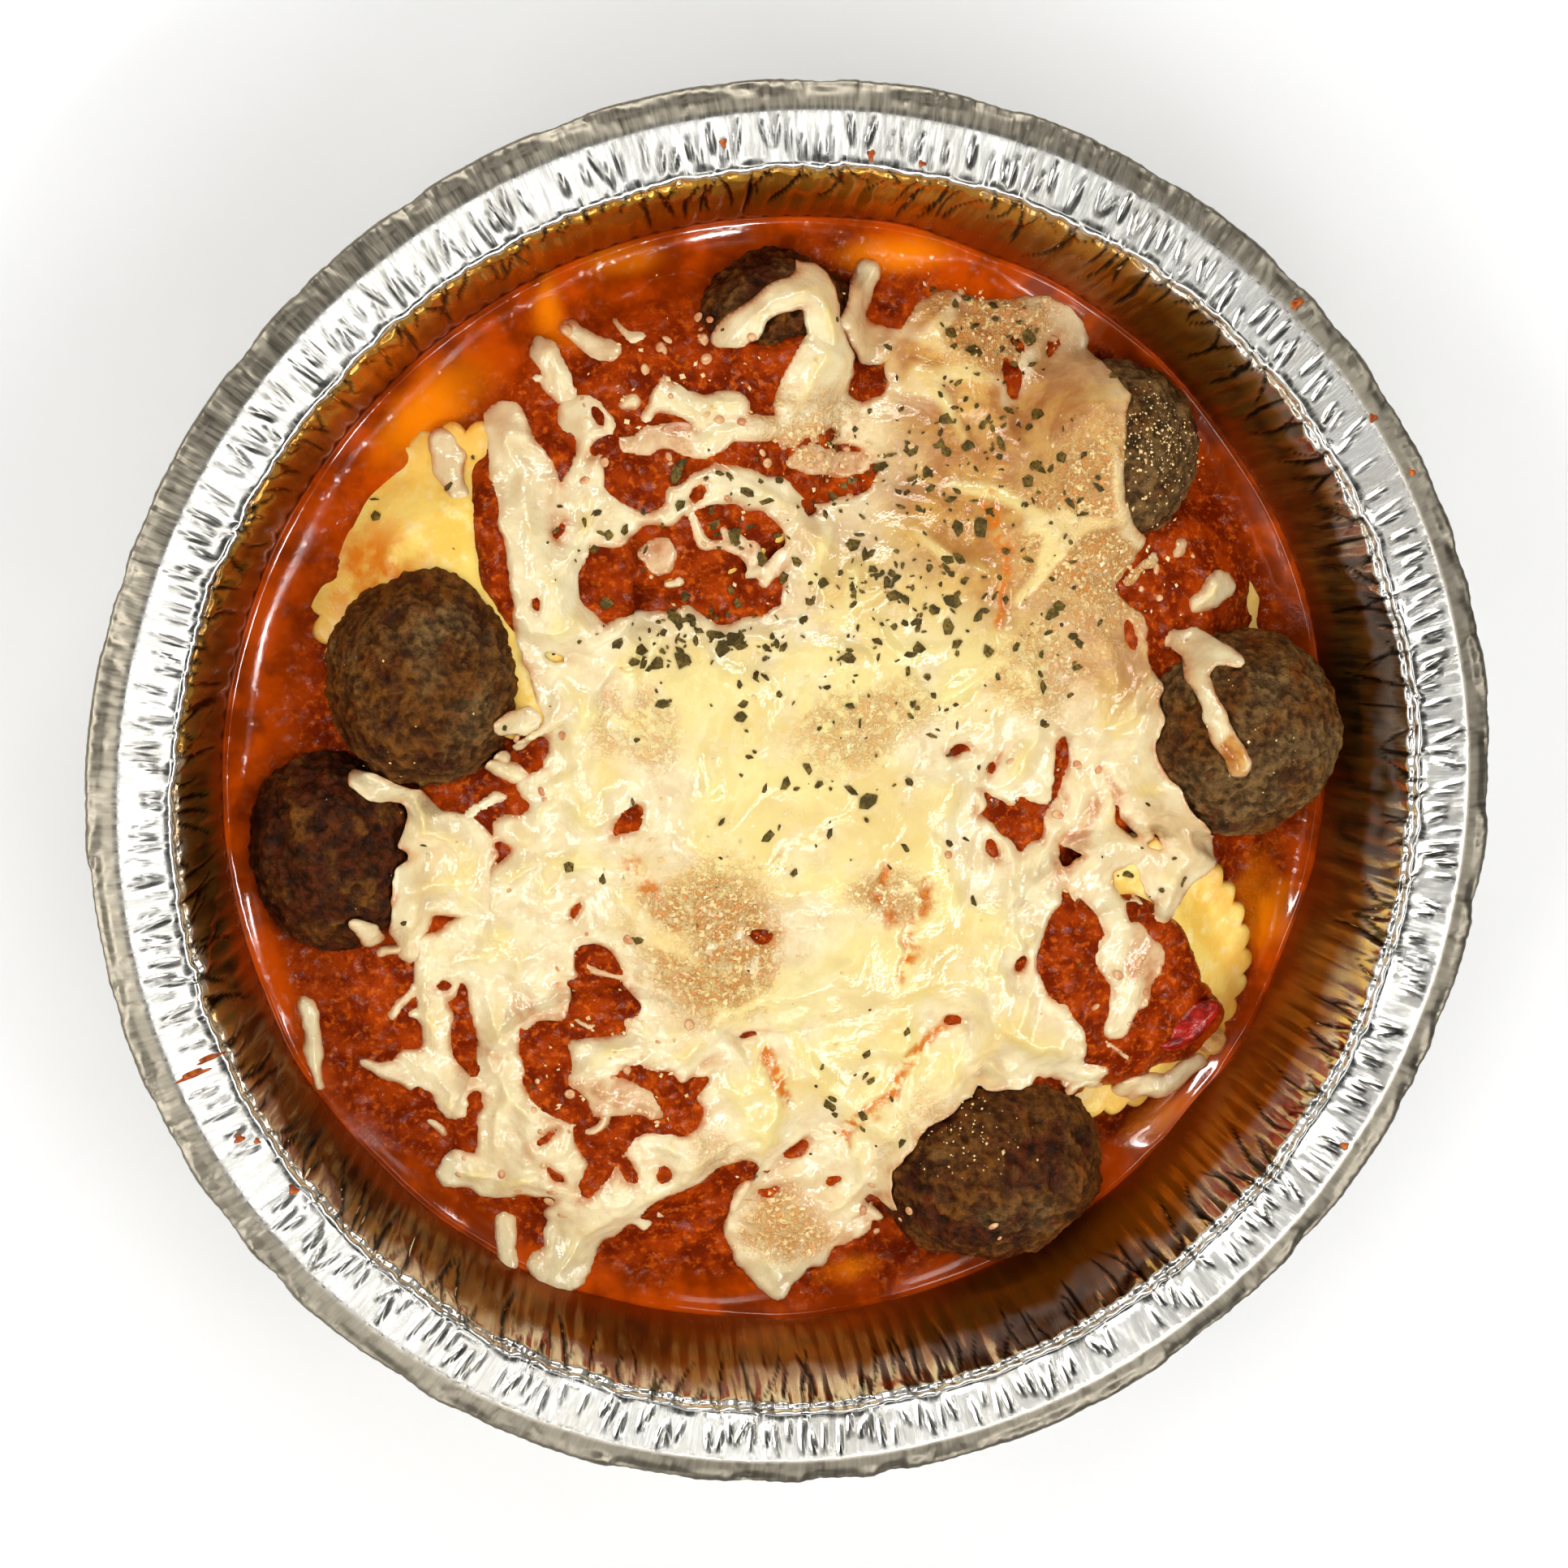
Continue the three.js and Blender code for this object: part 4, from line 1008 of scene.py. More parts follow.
def build_pan():
    """One skin: the upper face with its crimps, then the outside from the rolled edge back to the base"""
    path = np.array(pan_rows())
    step = np.hypot(*np.diff(path, axis=0).T)
    along = np.concatenate([[0], np.cumsum(step)])
    ledge = along[np.argmin(np.abs(path[:, 0] - (MOUTH_RADIUS + 1)) + 100 * (path[:, 1] < PAN_HEIGHT - 2))]
    flange = ledge + CREASE_RADIUS - MOUTH_RADIUS - 1
    rim = ledge + RIM_RADIUS - MOUTH_RADIUS - 1
    angles = circle(FINE_SEGMENTS)
    depth = crimp_field(angles, along, pan_creases(ledge, flange, rim))
    # Noise is read along a circle, so that it closes on itself
    circle_x, circle_y = np.cos(angles) * 30, np.sin(angles) * 30
    bulge = np.array([0.25 * noise2(circle_x + 500, circle_y + s, 2.2, 32) for s in along * 0.2])
    crumple = np.array([0.35 * noise2(circle_x * 2 + 90, circle_y * 2 + s, 2.2, 33) for s in along * 0.5])
    tangent = np.gradient(path, axis=0)
    normal = np.stack([-tangent[:, 1], tangent[:, 0]], axis=1)
    normal /= np.linalg.norm(normal, axis=1)[:, None]
    on_ledge = smooth_step(ledge - 1, ledge + 1, along) * (1 - smooth_step(rim - 2.4, rim - 1.2, along))
    on_wall = smooth_step(25, 40, path[:, 1]) * (1 - on_ledge)
    move = -depth + BULGE_ON_LEDGE * bulge * on_ledge[:, None]
    move = move + (BULGE_ON_WALL * bulge + CRUMPLE_ON_WALL * crumple) * on_wall[:, None]
    pleats = np.abs(np.sin(angles * WALL_PLEATS / 2 + 1.5 * noise2(circle_x, circle_y, 7, 40)))
    upright = smooth_step(18, 32, path[:, 1]) * (1 - on_ledge) * (path[:, 0] < MOUTH_RADIUS + 0.5)
    move -= PLEAT_DEPTH * upright[:, None] * (1 - pleats[None, :])
    bead = BEAD_DEPTH * np.abs(np.sin(angles * (BEADS // 2) + 2 * noise2(circle_x, circle_y, 6, 34)))
    bead = (along > rim - 1.4)[:, None] * bead[None, :]
    fine = path[:, 1] > FINE_FROM
    move = np.where(path[:, 1:2] < FINE_FROM, 0, move - bead)

    def ring(row, offset, stride):
        shift = move[row, ::stride] - offset
        radius = np.minimum(path[row, 0] + normal[row, 0] * shift, RIM_RADIUS - RADIUS_SPARE)
        height = np.minimum(path[row, 1] + normal[row, 1] * shift, PAN_HEIGHT - HEIGHT_SPARE)
        return ring_at(radius, angles[::stride], height)

    rows = len(path)
    rings, darker = [], []
    for n in range(rows):
        stride = 1 if fine[n] else INNER_BASE_STRIDE
        rings.append(ring(n, 0, stride))
        # Painted shade: the deeper a fold cuts the ledge or wall, the darker it is painted
        darker.append(smooth_step(0.05, 0.26, depth[n, ::stride]) * (along[n] < flange))
    back = [n for n in range(rows - 5, 0, -1) if n % 2 or path[n, 1] < FINE_FROM or n < 12]
    for n in back:
        under = ring(n, FOIL, OUTER_STRIDE if fine[n] else OUTER_BASE_STRIDE)
        under[:, 2] = np.maximum(under[:, 2], 0)
        rings.append(under)
    points, faces = stitched(rings)
    return make_piece("crimped_foil_pan", points, faces, foil_material(), pan_paints(points, darker))


pan = build_pan()
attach(pan, "root")
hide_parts("foil_pan")


# Sauce

# Pools of orange oil on the sauce: middle, half sizes, turn, strength
OIL_SPOTS = [
    (-60, 64, 13, 6, 38, 1.0), (-40, 80, 3.4, 7, 20, 0.9), (16, 89, 8, 3.4, 5, 0.9),
    (82, -24, 4.4, 12, -16, 0.95), (-30, 88, 6, 3, 10, 0.5), (66, -62, 8, 3, 35, 0.8),
    (11, -86, 6, 2.6, 10, 0.6),
]
SAUCE_SEGMENTS = 640
# The hidden side of the sauce: height, and distance from the wall
SAUCE_SIDE = ((17, 0.3), (11, 0.4), (4.5, 1.6), (1.2, 5))
# How far the sauce's edge runs into the foil, so that no gap shows
WALL_OVERLAP = 0.12


def build_sauce():
    angles = circle(SAUCE_SEGMENTS)
    rings = []
    shares = np.concatenate([np.linspace(0.01, 0.9, 112), 0.9 + 0.1 * np.linspace(0.05, 1, 20) ** 0.8])
    # The sauce ends within the foil's thickness, at the wall's radius for the sauce's height there
    reach = wall_radius(EDGE_LEVEL + EDGE_RISE + EDGE_LEAN * np.cos(angles - EDGE_LEAN_ANGLE))
    for _ in range(4):
        reach = wall_radius(sample(sauce_top, reach * np.cos(angles), reach * np.sin(angles))) + WALL_OVERLAP
    for share in shares:
        radius = share * reach
        x, y = radius * np.cos(angles), radius * np.sin(angles)
        rings.append(np.stack([x, y, sample(sauce_top, x, y)], axis=1))
    for height, inset in SAUCE_SIDE:
        rings.append(ring_at(wall_radius(height) - inset, angles, height))
    points, faces = stitched(rings)
    x, y = points[:, 0], points[:, 1]
    gap = wall_radius(points[:, 2]) - np.hypot(x, y)
    wavy = 3.5 * noise2(x, y, 9, 41) + 1.5 * noise2(x, y, 4, 42)
    turn = np.degrees(np.arctan2(y, x)) % 360
    wide = 5 + 9 * lobe(turn, 130, 45)
    edge = 1 - smooth_step(0.2, 1.4, (gap + wavy) / wide)
    oil = np.zeros_like(x)
    broken = 0.25 + 0.75 * smooth_step(-0.35, 0.25, noise2(x, y, 13, 43))
    for ox, oy, hx, hy, turned, amount in OIL_SPOTS:
        oil = np.maximum(oil, amount * smooth_step(-0.25, 0.9, spot(ox, oy, hx, hy, turned, x + wavy, y)))
    wet = np.exp(-np.maximum(gap, 0) / 2.8) * broken
    return make_piece("tomato_sauce", points, faces, sauce_material(), {"edge": edge, "oil": oil, "wet": wet})


sauce = build_sauce()
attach(sauce, "root")
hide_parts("sauce")


# Meatballs

def build_meatball(name, index):
    centre, half, turn, burnt, grey = MEATBALLS[name]
    angles = circle(200)
    tilts = np.concatenate([np.linspace(0.008, 0.62, 80), np.linspace(0.66, 0.985, 8)]) * math.pi
    rings = [ring_at(math.sin(tilt), angles, math.cos(tilt)) for tilt in tilts]
    directions, faces = stitched(rings)
    spots = directions * half + np.array([53.0, 31.0, 17.0]) * (index + 1)
    lump = 0.75 * noise3(spots, 9, 51) + 0.5 * noise3(spots, 4.2, 52)
    crust = 0.42 * noise3(spots, 1.9, 53) + 0.24 * noise3(spots, 1.0, 54)
    cracks = np.clip(1 - np.abs(noise3(spots, 3.4, 55)) / 0.2, 0, 1)
    crust = crust + 0.3 * noise3(spots, 0.8, 56) - 0.22 * cracks
    points = directions * (np.array(half) - 0.9) + directions * (lump + crust)[:, None]
    # Painted shade: how high each point of the crust stands, which the shader uses to darken the hollows and
    # which also feeds the bump
    paints = {"high": smooth_step(-0.8, 0.8, crust)}
    spin = Matrix.Rotation(math.radians(turn), 3, "Z")
    points = points @ np.array(spin).T + np.array(centre)
    ball = make_piece(f"baked_{name}", points, faces, meat_material(f"meat_{name}", burnt, grey), paints)
    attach(ball, "root")
    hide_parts(name)


for index, name in enumerate(MEATBALLS):
    build_meatball(name, index)


# Ravioli: the hidden underside is given by shares of the outline and heights

RAVIOLO_UNDERSIDE = ((0.985, -0.9), (0.8, -1.0), (0.4, -2.2), (0.03, -2.5))


def build_raviolo(name, index, material):
    centre, up = raviolo_axes(name)
    angles = circle(192)
    tooth = np.abs(np.sin(angles * RAVIOLO_TEETH / 2 + index)) ** 0.8
    wobble = 0.7 * noise2(np.cos(angles) * 9 + 20 * index, np.sin(angles) * 9, 6, 61)
    outline = RAVIOLO_RADIUS - TOOTH_DEPTH * (1 - tooth) + wobble - 0.4
    rings = []
    for share in np.linspace(0.02, 1, 38):
        toothed = smooth_step(0.8, 1, share)
        radius = share * (RAVIOLO_RADIUS - 0.8 + (outline - RAVIOLO_RADIUS + 0.8) * toothed)
        x, y = radius * np.cos(angles), radius * np.sin(angles)
        wave = 0.5 * noise2(x + 40 * index, y, 6, 62) * smooth_step(0.2, 0.8, share)
        rings.append(np.stack([x, y, pillow(share) + wave], axis=1))
    for share, low in RAVIOLO_UNDERSIDE:
        rings.append(ring_at(share * outline, angles, low))
    local, faces = stitched(rings)
    turn = Vector((0, 0, 1)).rotation_difference(up).to_matrix()
    points = local @ np.array(turn).T + np.array(centre)
    stain = smooth_step(0.6, 1, np.hypot(local[:, 0], local[:, 1]) / RAVIOLO_RADIUS) * 0.4
    if name == "raviolo_upper_left":
        stain = np.maximum(stain, smooth_step(0, 0.8, spot(-70, 38, 13, 14, 30, points[:, 0], points[:, 1])))
    if name == "raviolo_lower_right":
        stain = np.maximum(stain, 0.8)
    made = make_piece(f"cooked_{name}", points, faces, material, {"stain": stain})
    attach(made, "root")
    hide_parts(name)


pasta = pasta_material()
for index, name in enumerate(RAVIOLI):
    build_raviolo(name, index, pasta)


# Cheese

# Tones of the cheese: middle, half sizes, turn, strength
PEACH_SPOTS = [
    (-17, -22, 14, 17, 10, 1.0), (48, 44, 15, 20, 0, 1.0), (33, 78, 14, 10, 0, 0.9), (10, 12, 16, 8, 10, 0.6),
    (-3, -77, 8, 9, 0, 0.8), (38, 22, 12, 10, 0, 0.6), (0, 62, 12, 8, 0, 0.6), (-14, -62, 9, 5, -40, 0.4),
    (14, -16, 8, 6, 0, 0.7), (-30, 14, 8, 10, 0, 0.5), (22, -62, 8, 12, 0, 0.45), (-37, -36, 4, 3, 0, 1.0),
]
TAN_SPOTS = [
    (36, 52, 30, 30, 0, 0.85), (28, 74, 20, 14, 0, 0.9), (52, 28, 14, 18, 0, 0.7), (6, 40, 18, 12, 0, 0.35),
    (-2, -76, 9, 9, 0, 0.5), (70.5, 7, 4, 4.5, 0, 1.2), (-18, -24, 14, 14, 0, 0.25), (62, -8, 8, 8, 0, 0.2),
]
PINK_SPOTS = [
    (0, -20, 7, 6, 0, 1.0), (-44, 4, 5, 4, 0, 0.8), (-25, 41, 6, 6, 0, 0.9), (-10, 60, 9, 3, 0, 0.9),
    (-18, 66, 8, 3, 0, 0.8), (44, -4, 9, 12, 0, 0.6), (30, 2, 8, 6, 0, 0.6), (-36, 8, 5, 8, 0, 0.6),
    (20, -56, 14, 7, 20, 0.5), (-51, -38, 4, 9, 0, 0.7), (-34, -22, 8, 5, 0, 0.5), (5, -34, 16, 9, 0, 0.45),
]
CRACKS = [
    [(25, -40, 0.7), (18, -46, 0.8), (10, -55, 0.7), (6, -62, 0.6)],
    [(12, -12, 0.6), (10, -16, 0.7), (13, -20, 0.7), (18, -19, 0.7), (20, -14, 0.6)],
    [(15, -20, 0.6), (18, -26, 0.6), (16, -30, 0.5)],
    [(-8, -44, 0.9), (-4, -52, 0.7)],
    [(30, 50, 0.8), (34, 40, 0.7), (31, 30, 0.6)],
    [(-30, -8, 0.7), (-26, -14, 0.6)],
]


def painted(spots, x, y):
    wavy = 3 * noise2(x, y, 8, 71)
    value = np.zeros_like(x)
    for sx, sy, hx, hy, turn, amount in spots:
        inside = spot(sx, sy, hx, hy, turn, x + wavy, y - wavy)
        value = np.maximum(value, amount * smooth_step(-0.1, 0.55, inside))
    return value


crack_depth = np.full_like(pool, OUTSIDE)
for strand in CRACKS:
    for start, end in zip(strand, strand[1:]):
        crack_depth = np.maximum(crack_depth, span_depth(cheese_x + 0.8 * warp_x, cheese_y, start, end))
crack_field = smooth_step(-1.2, 0.3, crack_depth)


def build_cheese(name, depth, material, veil=None):
    """A skin of cheese where its depth is above zero, with thin skins where there is a veil; gives its top"""
    thick = cheese_thickness(depth)
    thick = thick - 0.5 * crack_field * smooth_step(0.5, 2, depth)
    clear = np.zeros_like(depth)
    if veil is not None:
        clear = smooth_step(0.6, -0.6, depth) * (veil > depth)
        skin = VEIL_SHARE + VEIL_SHARE * np.sqrt(np.clip(veil, 0, 1))
        thick = np.where(veil > 0, np.maximum(thick, skin), thick)
        depth = np.maximum(depth, veil)
    under = cheese_bed(depth) - CHEESE_SINK
    top = under + thick
    points, faces = outlined_skin(depth, top, under - CHEESE_KEEL * np.clip(depth, 0, 1))
    x, y = points[:, 0], points[:, 1]
    deep = sample(depth, x, y)
    thin = np.maximum(1 - smooth_step(0.8, 2.6, sample(thick, x, y)), 0.9 * painted(PINK_SPOTS, x, y))
    thin = np.maximum(thin, (1 - smooth_step(1.2, 6, deep)) * smooth_step(-0.3, 0.5, noise2(x, y, 5, 72)))
    rim = (1 - smooth_step(0.1, 1.2, deep)) * smooth_step(-0.9, 0.4, noise2(x, y, 3.4, 73))
    rim = np.maximum(rim, sample(clear, x, y) * (0.75 + 0.25 * noise2(x, y, 2.5, 74)))
    # Half melted shreds stay pale where the cheese around them has browned
    ground = 1 - 0.85 * smooth_step(0.3, 0.62, sample(relief, x, y))
    tan = painted(TAN_SPOTS, x, y) * ground
    peach = painted(PEACH_SPOTS, x, y) * ground
    paints = {"thin": thin, "rim": rim, "tan": tan, "peach": peach, "crack": sample(crack_field, x, y)}
    made = make_piece(f"melted_{name}", points, faces, material, paints)
    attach(made, "root")
    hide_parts(name)
    return top


cheese = cheese_material()
whole_sheet = sheet_depth()
whole_veil = veil_depth()
sheet_top = build_cheese("cheese_sheet", whole_sheet, cheese, whole_veil)
food_top = np.maximum(bed, np.where(np.maximum(whole_sheet, whole_veil) > 0, sheet_top, NOWHERE))
for name, strands in CHEESE_PIECES.items():
    piece_depth = strands_depth(strands)
    piece_top = build_cheese(name, piece_depth, cheese)
    food_top = np.maximum(food_top, np.where(piece_depth > 0, piece_top, NOWHERE))


# Vegetable chunks

# Centre, height over the sauce, half sizes, turn, dark and light tone, slot
CHUNKS = {
    "tomato_chunk": ((67.5, -42.5), 6, (7.2, 3.6, 3), 28, (112, 12, 4), (176, 34, 12), "tomato"),
    "onion_chunk_right": ((75, -47.2), 1.6, (3, 2.6, 2), -20, (186, 132, 70), (222, 178, 110), "onion"),
    "onion_chunk_middle": ((-22, 60.5), 5.2, (4.3, 2.3, 1.6), 8, (196, 140, 104), (222, 178, 146), "onion"),
}


def build_chunk(name, index):
    (x, y), lift, half, turn, dark, light, slot = CHUNKS[name]
    angles = circle(48)
    rings = []
    for tilt in np.linspace(0.06, math.pi - 0.06, 26):
        flat = math.copysign(abs(math.cos(tilt)) ** 0.7, math.cos(tilt))
        rings.append(ring_at(math.sin(tilt) ** 0.7, angles, flat))
    shape, faces = stitched(rings)
    scaled = shape * half
    bumpy = 1 + 0.12 * noise3(scaled + 19 * (index + 1), 3.2, 81) + 0.05 * noise3(scaled, 1.4, 82)
    spin = np.array(Matrix.Rotation(math.radians(turn), 3, "Z"))
    points = (scaled * bumpy[:, None] * 0.93) @ spin.T + np.array([x, y, pool_at(x, y) + lift])
    made = make_piece(f"soft_{name}", points, faces, chunk_material(name, tone(*dark), tone(*light)))
    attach(made, "root")
    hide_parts(name)


for index, name in enumerate(CHUNKS):
    build_chunk(name, index)


# Herbs and grated parmesan

# Patches: middle, spread along x and y, how many pieces, and the size of parmesan crumbs
HERB_PATCHES = [
    (12, 35, 18, 8, 110), (-20, 28, 14, 6, 80), (26, 58, 20, 15, 130), (8, 20, 30, 14, 60),
    (32, 76, 14, 8, 40), (0, -2, 34, 12, 34), (40, 30, 12, 18, 34), (8, -50, 14, 14, 16),
    (-8, 50, 26, 10, 60), (-60, 50, 14, 12, 7), (-35, 45, 16, 18, 14), (55, -10, 10, 16, 10),
    (0, 0, 60, 75, 36),
]
GRAIN_PATCHES = [
    (57, 60, 9, 10, 900, 0.22), (26, -57, 9, 7, 260, 0.2), (48, 42, 13, 17, 520, 0.4),
    (33, 78, 13, 9, 360, 0.4), (-17, -22, 13, 16, 480, 0.42), (-3, -76, 9, 8, 190, 0.42),
    (0, 10, 60, 70, 420, 0.36), (5, 57, 10, 6, 150, 0.42), (-20, 66, 22, 9, 120, 0.42),
    (-33, -45, 18, 16, 150, 0.4), (72, 8, 9, 9, 40, 0.24), (-70, 8, 16, 22, 45, 0.22),
]
DROPLET_PATCHES = [
    (-24, 72, 22, 9, 36), (-20, 58, 24, 10, 30), (-36, -42, 16, 20, 40), (55, -30, 12, 14, 22),
    (-50, -66, 16, 12, 26), (5, 56, 14, 6, 24), (-20, 44, 12, 8, 14), (40, 0, 14, 20, 16),
    (60, 30, 12, 14, 18), (-42, 6, 8, 22, 16), (20, -76, 18, 8, 22), (32, 82, 16, 8, 22),
]
DROPLET_SHARE = 0.4
GRAIN_SHARE = 0.42


def food_normal(x, y):
    reach = 0.7
    slope_x = (sample(food_top, x + reach, y) - sample(food_top, x - reach, y)) / (2 * reach)
    slope_y = (sample(food_top, x, y + reach) - sample(food_top, x, y - reach)) / (2 * reach)
    return Vector((-slope_x, -slope_y, 1)).normalized()


def scattered(name, patches, make_one, material, smooth=False, share=1.0):
    """One mesh of many small closed pieces, laid on the food by patches"""
    draw = np.random.default_rng(91)
    points, faces = [], []
    for x, y, spread_x, spread_y, count, *size in patches:
        for _ in range(int(count * share)):
            px, py = x + draw.normal(0, 0.5) * spread_x, y + draw.normal(0, 0.5) * spread_y
            if math.hypot(px, py) > SAUCE_RADIUS - 4:
                continue
            local, local_faces = make_one(draw, *size)
            lean = Vector((0, 0, 1)).rotation_difference(food_normal(px, py)).to_matrix()
            turned = local @ np.array(lean).T + np.array([px, py, float(sample(food_top, px, py))])
            start = len(points)
            points.extend(turned.tolist())
            faces.extend([[v + start for v in face] for face in local_faces])
    made = make_piece(name, points, faces, material, smooth=smooth)
    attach(made, "root")


def herb_flake(draw):
    """A torn, slightly cupped bit of dried leaf"""
    count = int(draw.integers(5, 8))
    size = draw.uniform(0.35, 1.15) * draw.choice([0.5, 1, 1.6])
    stretch = draw.uniform(0.25, 0.9)
    turn = draw.uniform(0, 2 * math.pi)
    ring = []
    for k in range(count):
        angle = 2 * math.pi * k / count + draw.uniform(-0.3, 0.3)
        radius = size * draw.uniform(0.6, 1.1)
        u, v = radius * math.cos(angle), radius * math.sin(angle) * stretch
        ring.append((u * math.cos(turn) - v * math.sin(turn), u * math.sin(turn) + v * math.cos(turn)))
    lift = draw.uniform(0.1, 0.3)
    upper = [(u, v, lift + 0.16 * math.sin(3 * a) * size) for a, (u, v) in enumerate(ring)]
    lower = [(u, v, z - 0.22) for u, v, z in upper]
    points = np.array(upper + lower + [(0, 0, lift + 0.1), (0, 0, lift - 0.2)])
    faces = []
    for k in range(count):
        after = (k + 1) % count
        faces.append([2 * count, k, after])
        faces.append([2 * count + 1, count + after, count + k])
        faces.append([k, count + k, count + after, after])
    return points, faces


def cheese_grain(draw, size):
    """A crumb of grated parmesan"""
    half = size * draw.uniform(0.5, 1.2, 3) * draw.choice([0.4, 0.7, 1.2])
    half[2] *= 0.7
    points = np.array([(1, 0, 0), (0, 1, 0), (-1, 0, 0), (0, -1, 0), (0, 0, 1), (0, 0, -1)]) * half
    points += draw.uniform(-0.3, 0.3, (6, 3)) * size
    turn = draw.uniform(0, 2 * math.pi)
    spin = np.array(Matrix.Rotation(turn, 3, "Z"))
    points = points @ spin.T + np.array([0, 0, half[2] * 0.4])
    faces = [[4, k, (k + 1) % 4] for k in range(4)] + [[5, (k + 1) % 4, k] for k in range(4)]
    return points, faces


def droplet(draw):
    """A soft flat drop of melted cheese"""
    half = draw.uniform(0.35, 1.15)
    stretch, turn = draw.uniform(0.55, 1), draw.uniform(0, math.pi)
    angles = circle(12)
    rings = []
    for wide, high in ((0.35, 0.3), (0.75, 0.22), (1, 0.02), (0.7, -0.3)):
        u, v = wide * half * np.cos(angles), wide * half * stretch * np.sin(angles)
        x, y = u * math.cos(turn) - v * math.sin(turn), u * math.sin(turn) + v * math.cos(turn)
        rings.append(np.stack([x, y, np.full_like(x, high * min(half, 0.8))], axis=1))
    return stitched(rings)


def droplet_material():
    s = Shader("droplets")
    s.set(
        Base_Color=s.mottled(2, 2, 0.35, 0.65, tone(230, 190, 142), tone(208, 142, 98)),
        Roughness=0.18,
        Subsurface_Weight=0.2,
        Subsurface_Scale=0.0008,
        Normal=s.bump(s.noise(0.8, 2), 0.05),
    )
    return s.material


scattered("cheese_droplets", DROPLET_PATCHES, droplet, droplet_material(), True, DROPLET_SHARE)
scattered("chopped_herbs", HERB_PATCHES, herb_flake, herb_material())
scattered("grated_parmesan", GRAIN_PATCHES, cheese_grain, grain_material(), False, GRAIN_SHARE)


# Splashes of sauce on the foil: angle in degrees, radius, half length along the radius, half width
SPLASHES = [
    (46.3, 111.6, 1.6, 1.1), (34.6, 110.6, 0.8, 0.7), (28.8, 111.8, 1.0, 0.8), (201.0, 107.2, 2.6, 0.6),
    (200.2, 103.8, 2.2, 0.5), (207.8, 105.6, 0.8, 0.7), (208.8, 103.4, 0.5, 0.5), (214.3, 103.2, 0.7, 0.9),
    (98.4, 106, 0.7, 0.6), (85.8, 103.6, 0.9, 0.6), (81.3, 103.3, 0.5, 0.6), (-33.5, 109.2, 0.8, 0.6),
]
SPLASH_HEIGHT = 0.3


def flange_height(radius):
    fall = RIM_DROP * (radius - CREASE_RADIUS) / (RIM_RADIUS - CREASE_RADIUS)
    return LEDGE_HEIGHT - max(fall, 0)


def splash_material():
    s = Shader("splashes")
    s.set(
        Base_Color=s.mottled(1.5, 3, 0.35, 0.65, tone(128, 52, 10), tone(196, 104, 30)),
        Roughness=0.2,
        Normal=s.bump(s.noise(0.8, 2), 0.05),
    )
    return s.material


def build_splashes():
    angles = circle(20)
    points, faces = [], []
    for degrees, radius, half_long, half_wide in SPLASHES:
        turn = math.radians(degrees)
        ragged = 1 + 0.22 * np.sin(3 * angles + degrees) + 0.12 * np.sin(5 * angles + 2 * degrees)
        rings = []
        for wide, high in ((0.3, 1), (0.7, 0.7), (1, 0.1), (0.8, -1.4)):
            along = radius + wide * half_long * ragged * np.cos(angles)
            across = wide * half_wide * ragged * np.sin(angles)
            x = along * math.cos(turn) - across * math.sin(turn)
            y = along * math.sin(turn) + across * math.cos(turn)
            level = flange_height(radius) + high * SPLASH_HEIGHT
            rings.append(np.stack([x, y, np.full_like(x, level)], axis=1))
        drop, drop_faces = stitched(rings)
        start = len(points)
        points.extend(drop.tolist())
        faces.extend([[v + start for v in face] for face in drop_faces])
    made = make_piece("sauce_splashes", points, faces, splash_material())
    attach(made, "root")


build_splashes()


# Studio

# The floor and the lights, in metres
FLOOR_HALF = 1.6


def build_floor():
    corners = [(x * FLOOR_HALF, y * FLOOR_HALF, 0) for x, y in ((-1, -1), (1, -1), (1, 1), (-1, 1))]
    mesh = bpy.data.meshes.new("floor")
    mesh.from_pydata(corners, [], [(0, 1, 2, 3)])
    mesh.materials.append(floor_material())
    floor = bpy.data.objects.new("floor", mesh)
    bpy.context.scene.collection.objects.link(floor)


# One share dims all lamps, to come near the photo's brightness
LIGHT_SHARE = 0.78
# Level foil at the ledge mirrors a ring of lamps, and level sauce mirrors the dark gap inside it
RING_CENTRE = (0.17, -0.17, 0.95)
RING_RADIUS = 0.37
RING_LAMPS = 12
RING_LAMP_SIZE = (0.13, 0.19)
RING_POWER = 0.14
# Long lamps give the wet food its streaks of light: place, length and width, power
TUBES = {
    "tube_right": ((0.62, -0.1, 0.72), (1.0, 0.05), 2.5),
    "tube_lower_right": ((0.5, -0.5, 0.74), (0.8, 0.04), 2.2),
    "tube_bottom": ((0.05, -0.66, 0.72), (0.9, 0.05), 2.2),
    "tube_left": ((-0.66, -0.1, 0.66), (0.9, 0.08), 3.5),
    "tube_top": ((0.0, 0.68, 0.6), (0.7, 0.07), 2.8),
}
TUBE_TARGET = (0, 0, 0.03)


def area_light(name, place, target, size, power):
    light = bpy.data.lights.new(name, "AREA")
    light.shape = "RECTANGLE"
    light.size, light.size_y = size
    light.energy = power * LIGHT_SHARE
    lamp = bpy.data.objects.new(name, light)
    lamp.location = place
    lamp.rotation_mode = "QUATERNION"
    lamp.rotation_quaternion = (Vector(target) - Vector(place)).to_track_quat("-Z", "Y")
    bpy.context.scene.collection.objects.link(lamp)
    return lamp


